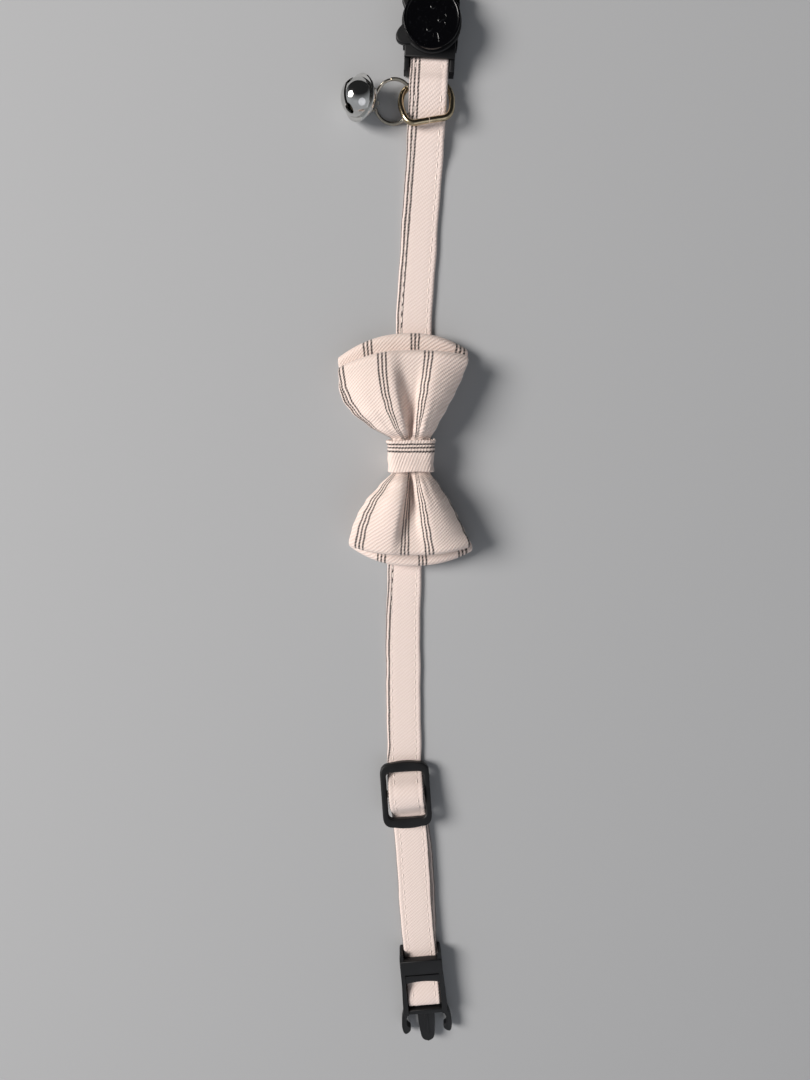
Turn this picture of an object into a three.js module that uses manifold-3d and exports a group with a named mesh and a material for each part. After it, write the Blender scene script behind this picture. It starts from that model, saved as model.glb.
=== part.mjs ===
// Pet bow tie collar, unfastened and laid out straight with its front up.
// Millimetres, +Z up. +Y runs from the prong half of the buckle to its cat-head half.
import * as THREE from "three";
import { mergeVertices } from "three/addons/utils/BufferGeometryUtils.js";
import Module from "manifold-3d";

const wasm = await Module();
wasm.setup();

// Strap and the room kept between neighbours
const STRAP_WIDTH = 10;
const STRAP_THICK = 1.3;
const GAP = 0.3;
const STRAP_EDGE = 0.35;

// Places along the strap, measured from the middle of the bow's knot
const KNOT_TO_D_BAR = 87.9;
const D_BAR_TO_SOCKET_BAR = 15.8;
const KNOT_TO_SLIDER = 102.65;
const KNOT_TO_PRONG_BAR = 172;

// Bow: two flattened cloth loops, one on the other, and the knot round their waist
const CLOTH = 1;
const PANEL_GAP = 0.2;
const KNOT_LENGTH = 8.8;
const WAIST_WIDTH = 10.4;
const FRONT_HALVES = {
  up: { left: 19.8, right: 15.5, leftEnd: 24, crown: 28.7, rightEnd: 27.4 },
  down: { left: 17.4, right: 16.6, leftEnd: 25.5, crown: 27.9, rightEnd: 25.8 },
};
const BACK_HALVES = {
  up: { left: 20.2, right: 15.7, leftEnd: 27, crown: 33.6, rightEnd: 29 },
  down: { left: 17.4, right: 17.7, leftEnd: 26.6, crown: 32, rightEnd: 27.8 },
};
const FRONT_PUFF = 4.4;
const BACK_PUFF = 3.1;
const FOLD_RISE = 2.4;
const PLEAT_RISE = 0.9;
const CLEFT_DEPTH = 3;
const SIDE_DROOP = 1.3;
const BACK_SINK = 0.9;
const NEST = 0.5;
const KNOT_CORNER = 1.6;
const KNOT_FOOT = 0.7;
const KNOT_CROWN = 0.35;

// D-ring, thin split ring and bell
const D_WIRE = 1.6;
const D_WIDTH = 15;
const D_HEIGHT = 12.4;
const D_TURN_DEG = 9;
const D_ASIDE = 0.65;
const D_BAR_LIFT = 2.8;
const RING_WIRE = 0.8;
const RING_RADIUS = 5;
const RING_ASIDE = -4.65;
const RING_ABOVE_D_BAR = 5.45;
const RING_LEFT_REST = 1.4;
const RING_RISE_TO_RIGHT = 0.18;
const RING_RISE_TO_BUCKLE = 0.32;
const BELL_RADIUS = 4.9;
const BELL_WALL = 0.6;
const BELL_FLANGE = 0.9;
const BELL_SLOT = 1.2;
const BELL_LOOP_RADIUS = 0.9;
const BELL_LOOP_WIRE = 0.7;
const PELLET_RADIUS = 1.3;

// Slider
const SLIDER_WIDTH = 15.4;
const SLIDER_LENGTH = 20.6;
const SLIDER_THICK = 2.2;
const SLIDER_SIDE_BAR = 2.4;
const SLIDER_END_BAR = 2.8;
const SLIDER_TILT = 0.11;
const SLIDER_ASIDE = 0.2;

// Both halves of the buckle
const RAIL_CLEARANCE = 0.3;
const RAIL = 1.6;
const RAIL_HEIGHT = 5;
const BUCKLE_LIFT = 0.3;
const CROSS_BAR = 1.4;
const PRONG_THICK = 2.4;
const PRONG_LENGTH = 10;
const CLAW_LENGTH = 7.1;
const COVER_LENGTH = 9.2;
const WINDOW_LENGTH = 8.8;
const SOCKET_DEPTH = 14;
const SOCKET_WALL = 0.9;
const ARM_LENGTH = 4.7;
const HEAD_RADIUS = 7.7;
const HEAD_THICK = 1.6;
const HEAD_ASIDE = 0.1;
const HEAD_AHEAD = 7.55;
const EAR_REACH = 10;
const EAR_HALF_DEG = 18;
const EAR_SPREAD_DEG = 34.5;
const HEAD_TURN_DEG = -7.5;
const DISC_RADIUS = 7.3;
const DISC_THICK = 1.4;

// Levels worked out from the sizes above
const onFloor = STRAP_THICK / 2;
const onLayer = onFloor + STRAP_THICK + GAP;
const aroundBar = (CROSS_BAR + STRAP_THICK) / 2 + GAP;
const railInside = STRAP_WIDTH / 2 + RAIL_CLEARANCE;
const railOutside = railInside + RAIL;
const underCover = onLayer + STRAP_THICK / 2 + GAP;
const socketWrapTop = onFloor + 2 * aroundBar;

const COLOURS = {
  cotton: ["#e9d9d0", 0.9, 0],
  plastic: ["#17181b", 0.45, 0],
  glossy: ["#101114", 0.25, 0],
  steel: ["#d9d3c3", 0.22, 1],
  chrome: ["#dfe2e4", 0.1, 1],
};

const collar = new THREE.Group();

function add(name, geometry, finish) {
  const [color, roughness, metalness] = COLOURS[finish];
  const mesh = new THREE.Mesh(geometry, new THREE.MeshStandardMaterial({ color, roughness, metalness }));
  mesh.name = name;
  collar.add(mesh);
}

// Shape helpers

function volumeOf(positions, triangles) {
  const corner = (i) => new THREE.Vector3().fromArray(positions, 3 * i);
  let volume = 0;
  for (let i = 0; i < triangles.length; i += 3) {
    const [a, b, c] = [corner(triangles[i]), corner(triangles[i + 1]), corner(triangles[i + 2])];
    volume += a.dot(b.cross(c)) / 6;
  }
  return volume;
}

// A solid skin through rows of points; each row is one closed section.
function loft(sections, closed) {
  const count = sections[0].length;
  const positions = sections.flat().flatMap((p) => [p.x, p.y, p.z]);
  const triangles = [];
  const at = (i, j) => (i % sections.length) * count + (j % count);
  const spans = closed ? sections.length : sections.length - 1;
  for (let i = 0; i < spans; i++) {
    for (let j = 0; j < count; j++) {
      triangles.push(at(i, j), at(i + 1, j), at(i + 1, j + 1));
      triangles.push(at(i, j), at(i + 1, j + 1), at(i, j + 1));
    }
  }
  const last = sections.length - 1;
  for (let j = 1; !closed && j < count - 1; j++) {
    triangles.push(at(0, 0), at(0, j), at(0, j + 1));
    triangles.push(at(last, 0), at(last, j + 1), at(last, j));
  }
  if (volumeOf(positions, triangles) < 0) {
    triangles.reverse();
  }
  const geometry = new THREE.BufferGeometry();
  geometry.setAttribute("position", new THREE.Float32BufferAttribute(positions, 3));
  geometry.setIndex(triangles);
  return geometry;
}

function solid(geometry) {
  const bare = geometry.clone();
  bare.deleteAttribute("normal");
  bare.deleteAttribute("uv");
  const merged = mergeVertices(bare, 1e-4);
  const vertProperties = new Float32Array(merged.attributes.position.array);
  const triVerts = new Uint32Array(merged.index.array);
  return new wasm.Manifold(new wasm.Mesh({ numProp: 3, vertProperties, triVerts }));
}

function geometryOf(manifold) {
  const mesh = manifold.getMesh();
  const geometry = new THREE.BufferGeometry();
  geometry.setAttribute("position", new THREE.BufferAttribute(new Float32Array(mesh.vertProperties), 3));
  geometry.setIndex(new THREE.BufferAttribute(new Uint32Array(mesh.triVerts), 1));
  return geometry;
}

function fuse(geometries) {
  return geometries.map(solid).reduce((whole, piece) => whole.add(piece));
}

function cut(whole, geometries) {
  return geometries.map(solid).reduce((rest, piece) => rest.subtract(piece), whole);
}

function block(x0, x1, y0, y1, z0, z1) {
  const geometry = new THREE.BoxGeometry(x1 - x0, y1 - y0, z1 - z0);
  return geometry.translate((x0 + x1) / 2, (y0 + y1) / 2, (z0 + z1) / 2);
}

// A block with its two faces at x0 and x1 joined along Y with softened long edges
function softBar(x0, x1, y0, y1, z0, z1, soft) {
  const shape = new THREE.Shape();
  shape.moveTo(y0 + soft, z0);
  for (const [y, z] of [
    [y1 - soft, z0], [y1, z0 + soft], [y1, z1 - soft], [y1 - soft, z1],
    [y0 + soft, z1], [y0, z1 - soft], [y0, z0 + soft],
  ]) {
    shape.lineTo(y, z);
  }
  const bar = new THREE.ExtrudeGeometry(shape, { depth: x1 - x0, bevelEnabled: false });
  const axes = new THREE.Matrix4().makeBasis(
    new THREE.Vector3(0, 1, 0), new THREE.Vector3(0, 0, 1), new THREE.Vector3(1, 0, 0));
  return bar.applyMatrix4(axes).translate(x0, 0, 0);
}

function slab(shape, z0, z1, soft = 0) {
  const options = { depth: z1 - z0 - 2 * soft, bevelEnabled: soft > 0, curveSegments: 5 };
  if (soft > 0) {
    Object.assign(options, { bevelSegments: 1, bevelSize: soft, bevelThickness: soft, bevelOffset: -soft });
  }
  return new THREE.ExtrudeGeometry(shape, options).translate(0, 0, z0 + soft);
}

function outline(points) {
  return new THREE.Shape(points.map(([x, y]) => new THREE.Vector2(x, y)));
}

function place(geometry, { x, y, z = 0, turn = 0 }) {
  return geometry.rotateZ(turn).translate(x, y, z);
}

// Value between the rows of a table, along its first column
function between(rows, at, column) {
  const last = rows.length - 1;
  const i = Math.min(Math.max(rows.findIndex((row) => row.along >= at), 1), last);
  const [a, b] = at > rows[last].along ? [rows[last - 1], rows[last]] : [rows[i - 1], rows[i]];
  const share = THREE.MathUtils.clamp((at - a.along) / (b.along - a.along), 0, 1);
  const smooth = share * share * (3 - 2 * share);
  return THREE.MathUtils.lerp(a[column], b[column], (share + smooth) / 2);
}

// Course of the strap across the floor: how far aside it lies, and how it leans there
const slider = -KNOT_TO_SLIDER;
const prongBar = -KNOT_TO_PRONG_BAR;
const dBar = KNOT_TO_D_BAR;
const socketBar = KNOT_TO_D_BAR + D_BAR_TO_SOCKET_BAR;
const COURSE = [
  { along: prongBar - 20, aside: 6.31, lean: -0.09 },
  { along: prongBar + 18, aside: 2.89, lean: -0.09 },
  { along: slider - 25, aside: 1.05, lean: -0.055 },
  { along: slider - 11, aside: 0.1, lean: -0.09 },
  { along: slider, aside: -1.25, lean: -0.07 },
  { along: slider + 12, aside: -1.85, lean: -0.01 },
  { along: slider + 45, aside: -2.2, lean: 0 },
  { along: -35, aside: -1.8, lean: 0.035 },
  { along: 0, aside: 0, lean: 0.04 },
  { along: 38, aside: 0.94, lean: 0.045 },
  { along: dBar - 30, aside: 2.16, lean: 0.063 },
  { along: dBar - 3, aside: 3.94, lean: 0.06 },
  { along: socketBar - 4, aside: 4.6, lean: 0.047 },
  { along: socketBar + 25, aside: 5.96, lean: 0.047 },
];

function courseAt(along) {
  const last = COURSE.length - 1;
  const i = Math.min(Math.max(COURSE.findIndex((row) => row.along >= along), 1), last);
  const [a, b] = [COURSE[i - 1], COURSE[i]];
  const span = b.along - a.along;
  const s = (along - a.along) / span;
  const aside =
    (2 * s ** 3 - 3 * s ** 2 + 1) * a.aside + (s ** 3 - 2 * s ** 2 + s) * span * a.lean +
    (3 * s ** 2 - 2 * s ** 3) * b.aside + (s ** 3 - s ** 2) * span * b.lean;
  const lean =
    ((6 * s ** 2 - 6 * s) * (a.aside - b.aside)) / span +
    (3 * s ** 2 - 4 * s + 1) * a.lean + (3 * s ** 2 - 2 * s) * b.lean;
  return { aside, lean };
}

function onCourse(along, more = {}) {
  const { aside, lean } = courseAt(along);
  return { x: aside, y: along, turn: -Math.atan(lean), ...more };
}

// Half a turn of the strap round a bar, as points of its middle
function halfTurn(along, centre, radius, fromDeg, toDeg) {
  const steps = 6;
  return Array.from({ length: steps + 1 }, (_, i) => {
    const angle = THREE.MathUtils.degToRad(THREE.MathUtils.lerp(fromDeg, toDeg, i / steps));
    return { along: along + radius * Math.cos(angle), up: centre + radius * Math.sin(angle) };
  });
}

// Levels of the D-ring and the split ring, which the strap's hump passes over
const dArcLevel = STRAP_THICK + GAP + D_WIRE / 2;
const ringMiddle = {
  x: RING_ASIDE,
  y: dBar + RING_ABOVE_D_BAR,
  z: RING_LEFT_REST + RING_RADIUS * RING_RISE_TO_RIGHT,
};

function ringLevel(dx, dy) {
  return ringMiddle.z + dx * RING_RISE_TO_RIGHT + dy * RING_RISE_TO_BUCKLE;
}

function overRing(share) {
  const dy = share * RING_RADIUS;
  const dx = Math.sqrt(RING_RADIUS ** 2 - dy ** 2);
  return ringLevel(dx, dy) + RING_WIRE / 2 + GAP + STRAP_THICK / 2;
}

const knotFloor = CLOTH + GAP + STRAP_THICK / 2;
const overSlider = onFloor + 2 * aroundBar + STRAP_THICK + GAP;

// The whole strap from its end under the D-ring, round the socket half, down through
// the knot and the slider, round the prong half and back to the slider's middle bar
function strapRoute() {
  const ring = ringMiddle.y;
  const edge = KNOT_LENGTH / 2;
  return [
    { along: dBar - 3, up: onFloor },
    { along: dBar + 4, up: onFloor },
    { along: socketBar - 4, up: onFloor },
    ...halfTurn(socketBar, onFloor + aroundBar, aroundBar, -90, 90),
    { along: socketBar - 2, up: socketWrapTop },
    { along: socketBar - 4.2, up: socketWrapTop + 0.55 },
    { along: ring + 0.8 * RING_RADIUS, up: overRing(0.76) },
    { along: ring + 0.35 * RING_RADIUS, up: overRing(0.35) + 0.1 },
    { along: ring, up: overRing(0) + 0.05 },
    { along: ring - 0.45 * RING_RADIUS, up: overRing(-0.45) },
    { along: ring - 0.75 * RING_RADIUS, up: overRing(-0.75) },
    { along: dBar + 0.5, up: onLayer + 0.5 },
    { along: dBar - 1, up: onLayer + 0.12 },
    { along: dBar - 4, up: onLayer },
    { along: dBar - 10, up: onFloor + 0.3 },
    { along: dBar - 16, up: onFloor },
    { along: dBar * 0.55, up: onFloor },
    { along: edge + 12, up: onFloor },
    { along: edge + 1.5, up: knotFloor },
    { along: -edge - 1.5, up: knotFloor },
    { along: -edge - 12, up: onFloor },
    { along: slider * 0.55, up: onFloor },
    { along: slider + 13, up: onFloor },
    { along: slider + 8.6, up: onFloor },
    { along: slider + 6.9, up: onFloor + 0.1 },
    { along: slider + 6, up: onFloor + 0.6 },
    { along: slider + 4.4, up: onFloor + 2.2 },
    { along: slider + 3, up: overSlider - 1.05 },
    { along: slider + 1.6, up: overSlider - 0.15 },
    { along: slider - 0.2, up: overSlider + 0.05 },
    { along: slider - 3, up: overSlider - 0.65 },
    { along: slider - 4.9, up: onLayer + 1.15 },
    { along: slider - 6.5, up: onLayer + 0.22 },
    { along: slider - 8, up: onLayer },
    { along: slider - 24, up: onLayer },
    { along: (slider + prongBar) / 2, up: onLayer },
    { along: prongBar + 14, up: onLayer },
    { along: prongBar + 6.4, up: onLayer },
    { along: prongBar + 4.4, up: onLayer + 0.4 },
    { along: prongBar + 2.2, up: onFloor + 2 * aroundBar - 0.3 },
    ...halfTurn(prongBar - 0.6, onFloor + aroundBar, aroundBar, 90, 270),
    { along: prongBar + 14, up: onFloor },
    { along: prongBar + 26, up: onFloor, aside: 0.7 },
    { along: (slider + prongBar) / 2, up: onFloor, aside: 1 },
    { along: slider - 14, up: onFloor, aside: 0.6 },
    { along: slider - 6, up: onFloor },
    ...halfTurn(slider + 0.4, onFloor + aroundBar, aroundBar, -90, 90),
    { along: slider - 1.4, up: onFloor + 2 * aroundBar - 0.05 },
    { along: slider - 3.2, up: onFloor + 2 * aroundBar - 0.5 },
  ];
}

function strapSection(middle, across, up) {
  const [half, thick, edge] = [STRAP_WIDTH / 2, STRAP_THICK / 2, STRAP_EDGE];
  const corners = [
    [half, thick - edge], [half - edge, thick], [edge - half, thick], [-half, thick - edge],
    [-half, edge - thick], [edge - half, -thick], [half - edge, -thick], [half, edge - thick],
  ];
  return corners.map(([a, b]) => middle.clone().addScaledVector(across, a).addScaledVector(up, b));
}

function makeStrap() {
  const route = strapRoute();
  const points = route.map(({ along, up, aside = 0 }) => new THREE.Vector3(aside, along, up));
  const curve = new THREE.CatmullRomCurve3(points, false, "centripetal");
  const sections = [];
  const stations = [];
  for (let i = 0; i < points.length - 1; i++) {
    const long = points[i].distanceTo(points[i + 1]);
    const parts = Math.min(Math.max(Math.round(long / 6), 1), 3);
    for (let k = 0; k < parts; k++) {
      stations.push((i + k / parts) / (points.length - 1));
    }
  }
  stations.push(1);
  for (const share of stations) {
    const point = curve.getPoint(share);
    const tangent = curve.getTangent(share);
    const { aside, lean } = courseAt(point.y);
    const ahead = new THREE.Vector3(lean, 1, 0).normalize();
    const across = new THREE.Vector3(1, -lean, 0).normalize();
    const along = ahead.multiplyScalar(tangent.y).add(new THREE.Vector3(0, 0, tangent.z)).normalize();
    const up = new THREE.Vector3().crossVectors(across, along);
    const level = Math.max(point.z, onFloor);
    sections.push(strapSection(new THREE.Vector3(aside + point.x, point.y, level), across, up));
  }
  add("strap", loft(sections, false), "cotton");
}

// Bow

// How far each side edge has spread from the waist to the end corner
const SPREAD = [
  { along: 0, upLeft: 0, upRight: 0, downLeft: 0, downRight: 0 },
  { along: 0.2, upLeft: 0.4, upRight: 0.21, downLeft: 0.31, downRight: 0.25 },
  { along: 0.4, upLeft: 0.68, upRight: 0.44, downLeft: 0.6, downRight: 0.48 },
  { along: 0.6, upLeft: 0.86, upRight: 0.66, downLeft: 0.79, downRight: 0.66 },
  { along: 0.8, upLeft: 0.96, upRight: 0.85, downLeft: 0.92, downRight: 0.83 },
  { along: 1, upLeft: 1, upRight: 1, downLeft: 1, downRight: 1 },
];
// Shares of the loop's puff, the cleft's depth, the pleat's rise and the sides' droop
const SWELL = [
  { along: 0, puff: 0, cleft: 0, pleat: 1, droop: 0, sink: 0 },
  { along: 0.12, puff: 0.62, cleft: 0.72, pleat: 0.8, droop: 0.2, sink: 0.4 },
  { along: 0.35, puff: 1, cleft: 1, pleat: 0.35, droop: 0.6, sink: 0.9 },
  { along: 0.65, puff: 0.92, cleft: 0.5, pleat: 0, droop: 0.9, sink: 1 },
  { along: 1, puff: 0.45, cleft: 0.12, pleat: 0, droop: 1, sink: 0.9 },
];
const ACROSS = 16;
const PANEL_STEPS = [0, 0.1, 0.22, 0.36, 0.52, 0.68, 0.84, 1];
const FOLD_STEPS = 4;

const waistLevels = (() => {
  const backUnder = knotFloor + STRAP_THICK / 2 + GAP + CLOTH / 2;
  const backOver = backUnder + CLOTH + PANEL_GAP;
  const frontUnder = backOver + CLOTH + GAP;
  return { backUnder, backOver, frontUnder, frontOver: frontUnder + CLOTH + PANEL_GAP };
})();

// A point of one panel: share runs from the waist to the end, u from left edge to right edge
function panelPoint(loop, side, share, u) {
  const half = loop.halves[side];
  const [edge, end] = u < 0 ? ["Left", half.leftEnd] : ["Right", half.rightEnd];
  const reach = u < 0 ? half.left : half.right;
  const spread = between(SPREAD, share, side + edge);
  const width = THREE.MathUtils.lerp(WAIST_WIDTH / 2, reach, spread);
  const far = half.crown - (half.crown - end) * Math.abs(u) ** 2.2 - FOLD_RISE / 2 - CLOTH / 2;
  const along = THREE.MathUtils.lerp(KNOT_LENGTH / 2 + 0.4, far, share);
  return new THREE.Vector3(width * u, side === "up" ? along : -along, 0);
}

function underLevel(loop, share, u) {
  const pleat = PLEAT_RISE * between(SWELL, share, "pleat") * Math.sin(Math.PI * u) ** 2;
  const droop = SIDE_DROOP * between(SWELL, share, "droop") * Math.abs(u) ** 3;
  return loop.under + loop.rise * between(SWELL, share, "sink") + pleat - droop;
}

function overLevel(loop, share, u) {
  const least = CLOTH + PANEL_GAP;
  const puff = between(SWELL, share, "puff") * loop.puff * (1 - 0.8 * Math.abs(u) ** 3);
  const cleft = between(SWELL, share, "cleft") * loop.cleft * Math.exp(-((u / 0.2) ** 2));
  const end = (FOLD_RISE - least) * share ** 3;
  return underLevel(loop, share, u) + least + Math.max(puff + end - cleft, 0);
}

function foldRow(loop, side, step) {
  const angle = Math.PI * (step / FOLD_STEPS);
  return (u) => {
    const at = panelPoint(loop, side, 1, u);
    const [low, high] = [underLevel(loop, 1, u), overLevel(loop, 1, u)];
    const out = (FOLD_RISE / 2) * Math.sin(angle);
    at.y += side === "up" ? out : -out;
    at.z = (low + high) / 2 + ((high - low) / 2) * Math.cos(angle);
    return at;
  };
}

function panelRow(loop, side, share, level) {
  return (u) => {
    const at = panelPoint(loop, side, share, u);
    at.z = level(loop, share, u);
    return at;
  };
}

function loopRows(loop) {
  const outward = (side, level) => PANEL_STEPS.map((share) => panelRow(loop, side, share, level));
  const folds = (side) => Array.from({ length: FOLD_STEPS - 1 }, (_, i) => foldRow(loop, side, i + 1));
  return [
    ...outward("up", overLevel),
    ...folds("up"),
    ...outward("up", underLevel).reverse(),
    ...outward("down", underLevel),
    ...folds("down").reverse(),
    ...outward("down", overLevel).reverse(),
  ];
}

function makeLoop(name, loop) {
  const rows = loopRows(loop);
  const grid = rows.map((row) => Array.from({ length: ACROSS + 1 }, (_, j) => row((2 * j) / ACROSS - 1)));
  const sections = grid.map((points, i) => {
    const before = grid[(i + rows.length - 1) % rows.length];
    const after = grid[(i + 1) % rows.length];
    const outer = [];
    const inner = [];
    points.forEach((point, j) => {
      const alongLoop = after[j].clone().sub(before[j]);
      const acrossLoop = points[Math.min(j + 1, ACROSS)].clone().sub(points[Math.max(j - 1, 0)]);
      const normal = new THREE.Vector3().crossVectors(acrossLoop, alongLoop).normalize();
      outer.push(point.clone().addScaledVector(normal, CLOTH / 2));
      inner.unshift(point.clone().addScaledVector(normal, -CLOTH / 2));
    });
    return [...outer, ...inner];
  });
  add(name, loft(sections, true), "cotton");
}

function makeKnot() {
  const inside = WAIST_WIDTH / 2 + GAP;
  const top = waistLevels.frontOver + PLEAT_RISE + CLOTH / 2 + GAP + CLOTH / 2;
  const bottom = CLOTH / 2;
  const side = inside + CLOTH / 2;
  const [corner, foot, crown] = [KNOT_CORNER, KNOT_FOOT, KNOT_CROWN];
  const right = [
    [0.4 * side, top + 0.6 * crown], [side - corner, top], [side - 0.3 * corner, top - 0.3 * corner],
    [side, top - corner], [side, (top + bottom) / 2], [side, bottom + foot],
    [side - 0.3 * foot, bottom + 0.2 * foot], [side - foot, bottom],
  ];
  const left = right.map(([x, z]) => [-x, z]).reverse();
  const around = [[0, top + crown], ...right, [0, bottom], ...left];
  const rowShares = [-1, -0.8, 0, 0.8, 1];
  const flare = [0.35, 0.1, 0, 0.05, 0.2];
  const sections = around.map(([x, z], i) => {
    const before = around[(i + around.length - 1) % around.length];
    const after = around[(i + 1) % around.length];
    const normal = new THREE.Vector3(-(after[1] - before[1]), 0, after[0] - before[0]).normalize();
    const lifted = z > bottom + foot ? 1 : 0;
    const outer = [];
    const inner = [];
    rowShares.forEach((share, k) => {
      const edge = Math.abs(share) === 1 ? 0.25 : 0;
      const at = new THREE.Vector3(x, -share * (KNOT_LENGTH / 2), z);
      at.addScaledVector(normal, flare[k] * lifted);
      outer.push(at.clone().addScaledVector(normal, CLOTH / 2 - edge));
      inner.unshift(at.clone().addScaledVector(normal, edge - CLOTH / 2));
    });
    return [...outer, ...inner];
  });
  add("bow_knot", loft(sections, true), "cotton");
}

function makeBow() {
  makeLoop("bow_back", {
    halves: BACK_HALVES, under: waistLevels.backUnder, puff: BACK_PUFF - CLOTH, rise: -BACK_SINK,
    cleft: 0.6,
  });
  const nested = BACK_PUFF - CLOTH - BACK_SINK + NEST;
  makeLoop("bow_front", {
    halves: FRONT_HALVES, under: waistLevels.frontUnder, puff: FRONT_PUFF, rise: nested, cleft: CLEFT_DEPTH,
  });
  makeKnot();
}

// Rings and bell

function wireLoop(points, normal, wire, sides) {
  const sections = points.map((point, i) => {
    const before = points[(i + points.length - 1) % points.length];
    const after = points[(i + 1) % points.length];
    const tangent = after.clone().sub(before).normalize();
    const outward = new THREE.Vector3().crossVectors(tangent, normal).normalize();
    return Array.from({ length: sides }, (_, k) => {
      const angle = (2 * Math.PI * (k + 0.5)) / sides;
      const section = outward.clone().multiplyScalar(Math.cos(angle) * (wire / 2));
      return point.clone().add(section).addScaledVector(normal, Math.sin(angle) * (wire / 2));
    });
  });
  return loft(sections, true);
}

// Half of the D from the middle of its bar to the top of its arc, as shares of half width and height
const D_OUTLINE = [
  { aside: 0.33, along: 0 },
  { aside: 0.66, along: 0.005 },
  { aside: 0.86, along: 0.1 },
  { aside: 0.98, along: 0.33 },
  { aside: 1, along: 0.55 },
  { aside: 0.85, along: 0.8 },
  { aside: 0.48, along: 0.96 },
];

function makeDRing() {
  const half = (D_WIDTH - D_WIRE) / 2;
  const height = D_HEIGHT - D_WIRE;
  const right = D_OUTLINE.map(({ aside, along }) => [aside * half, along * height]);
  const left = right.map(([x, y]) => [-x, y]).reverse();
  const corners = [[0, 0], ...right, [0, height], ...left];
  const curve = new THREE.CatmullRomCurve3(
    corners.map(([x, y]) => new THREE.Vector3(x, y, 0)), true, "centripetal");
  const tilt = Math.atan(-D_BAR_LIFT / height);
  const geometry = wireLoop(curve.getPoints(32).slice(0, -1), new THREE.Vector3(0, 0, 1), D_WIRE, 6);
  geometry.rotateX(tilt);
  const spot = onCourse(dBar);
  const turn = THREE.MathUtils.degToRad(D_TURN_DEG);
  const at = { x: spot.x + D_ASIDE, y: dBar, z: dArcLevel + D_BAR_LIFT, turn };
  add("d_ring", place(geometry, at), "steel");
}

function makeSplitRing() {
  const steps = 28;
  const points = Array.from({ length: steps }, (_, i) => {
    const angle = (2 * Math.PI * i) / steps;
    const [dx, dy] = [RING_RADIUS * Math.cos(angle), RING_RADIUS * Math.sin(angle)];
    return new THREE.Vector3(ringMiddle.x + dx, ringMiddle.y + dy, ringLevel(dx, dy));
  });
  const normal = new THREE.Vector3(-RING_RISE_TO_RIGHT, -RING_RISE_TO_BUCKLE, 1).normalize();
  add("split_ring", wireLoop(points, normal, RING_WIRE, 6), "steel");
}

// The bell hangs on the ring's left end by its loop, which points down and right
const bellRest = BELL_RADIUS + GAP;
const ringLeft = new THREE.Vector3(ringMiddle.x - RING_RADIUS, ringMiddle.y, RING_LEFT_REST);
const bellReach = BELL_RADIUS + RING_WIRE / 2 + 0.2;
const bellDrop = bellRest - RING_LEFT_REST;
const bellAside = Math.sqrt(bellReach ** 2 - bellDrop ** 2);
const bellMiddle = new THREE.Vector3(ringLeft.x - bellAside, ringMiddle.y, bellRest);
const bellTilt = Math.atan2(bellAside, -bellDrop);

function makeBell() {
  const lip = 0.35;
  const rim = BELL_RADIUS + BELL_FLANGE;
  const steps = 7;
  const arc = (radius, from, to) => Array.from({ length: steps + 1 }, (_, i) => {
    const angle = THREE.MathUtils.lerp(from, to, i / steps);
    return new THREE.Vector2(Math.max(radius * Math.cos(angle), 0), radius * Math.sin(angle));
  });
  const quarter = Math.PI / 2;
  const start = Math.asin(lip / BELL_RADIUS);
  const outer = [
    ...arc(BELL_RADIUS, -quarter, -start), new THREE.Vector2(rim, -lip),
    new THREE.Vector2(rim, lip), ...arc(BELL_RADIUS, start, quarter),
  ];
  const shell = new THREE.LatheGeometry(outer, 16).rotateX(quarter);
  const hollow = new THREE.SphereGeometry(BELL_RADIUS - BELL_WALL, 14, 10).rotateX(quarter);
  const [slotHalf, slotEnd] = [BELL_SLOT / 2, 0.7 * BELL_RADIUS];
  const slot = block(-slotHalf, slotHalf, -slotEnd, slotEnd, -rim, -0.5 * BELL_RADIUS);
  const holes = [-1, 1].map((side) => {
    const hole = new THREE.CylinderGeometry(BELL_SLOT, BELL_SLOT, rim, 10).rotateX(quarter);
    return hole.translate(0, side * 0.66 * BELL_RADIUS, -rim / 2 - 0.35 * BELL_RADIUS);
  });
  const loop = new THREE.TorusGeometry(BELL_LOOP_RADIUS, BELL_LOOP_WIRE / 2, 6, 14);
  loop.rotateX(quarter).translate(0, 0, bellReach);
  const whole = cut(solid(shell), [hollow, slot, ...holes]).add(solid(loop));
  const geometry = geometryOf(whole).rotateY(bellTilt);
  add("bell_shell", geometry.translate(bellMiddle.x, bellMiddle.y, bellMiddle.z), "chrome");
  const inside = BELL_RADIUS - BELL_WALL - PELLET_RADIUS - GAP;
  const pellet = new THREE.SphereGeometry(PELLET_RADIUS, 10, 8);
  add("bell_pellet", pellet.translate(bellMiddle.x, bellMiddle.y, bellMiddle.z - inside), "steel");
}

// Slider

function bowedFrame(halfWidth, halfLength, corner, bow) {
  const shape = new THREE.Shape();
  shape.moveTo(-halfWidth, corner - halfLength);
  shape.quadraticCurveTo(-halfWidth, -halfLength, corner - halfWidth, -halfLength);
  shape.quadraticCurveTo(0, -halfLength - bow, halfWidth - corner, -halfLength);
  shape.quadraticCurveTo(halfWidth, -halfLength, halfWidth, corner - halfLength);
  shape.lineTo(halfWidth, halfLength - corner);
  shape.quadraticCurveTo(halfWidth, halfLength, halfWidth - corner, halfLength);
  shape.quadraticCurveTo(0, halfLength + bow, corner - halfWidth, halfLength);
  shape.quadraticCurveTo(-halfWidth, halfLength, -halfWidth, halfLength - corner);
  shape.closePath();
  return shape;
}

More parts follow.
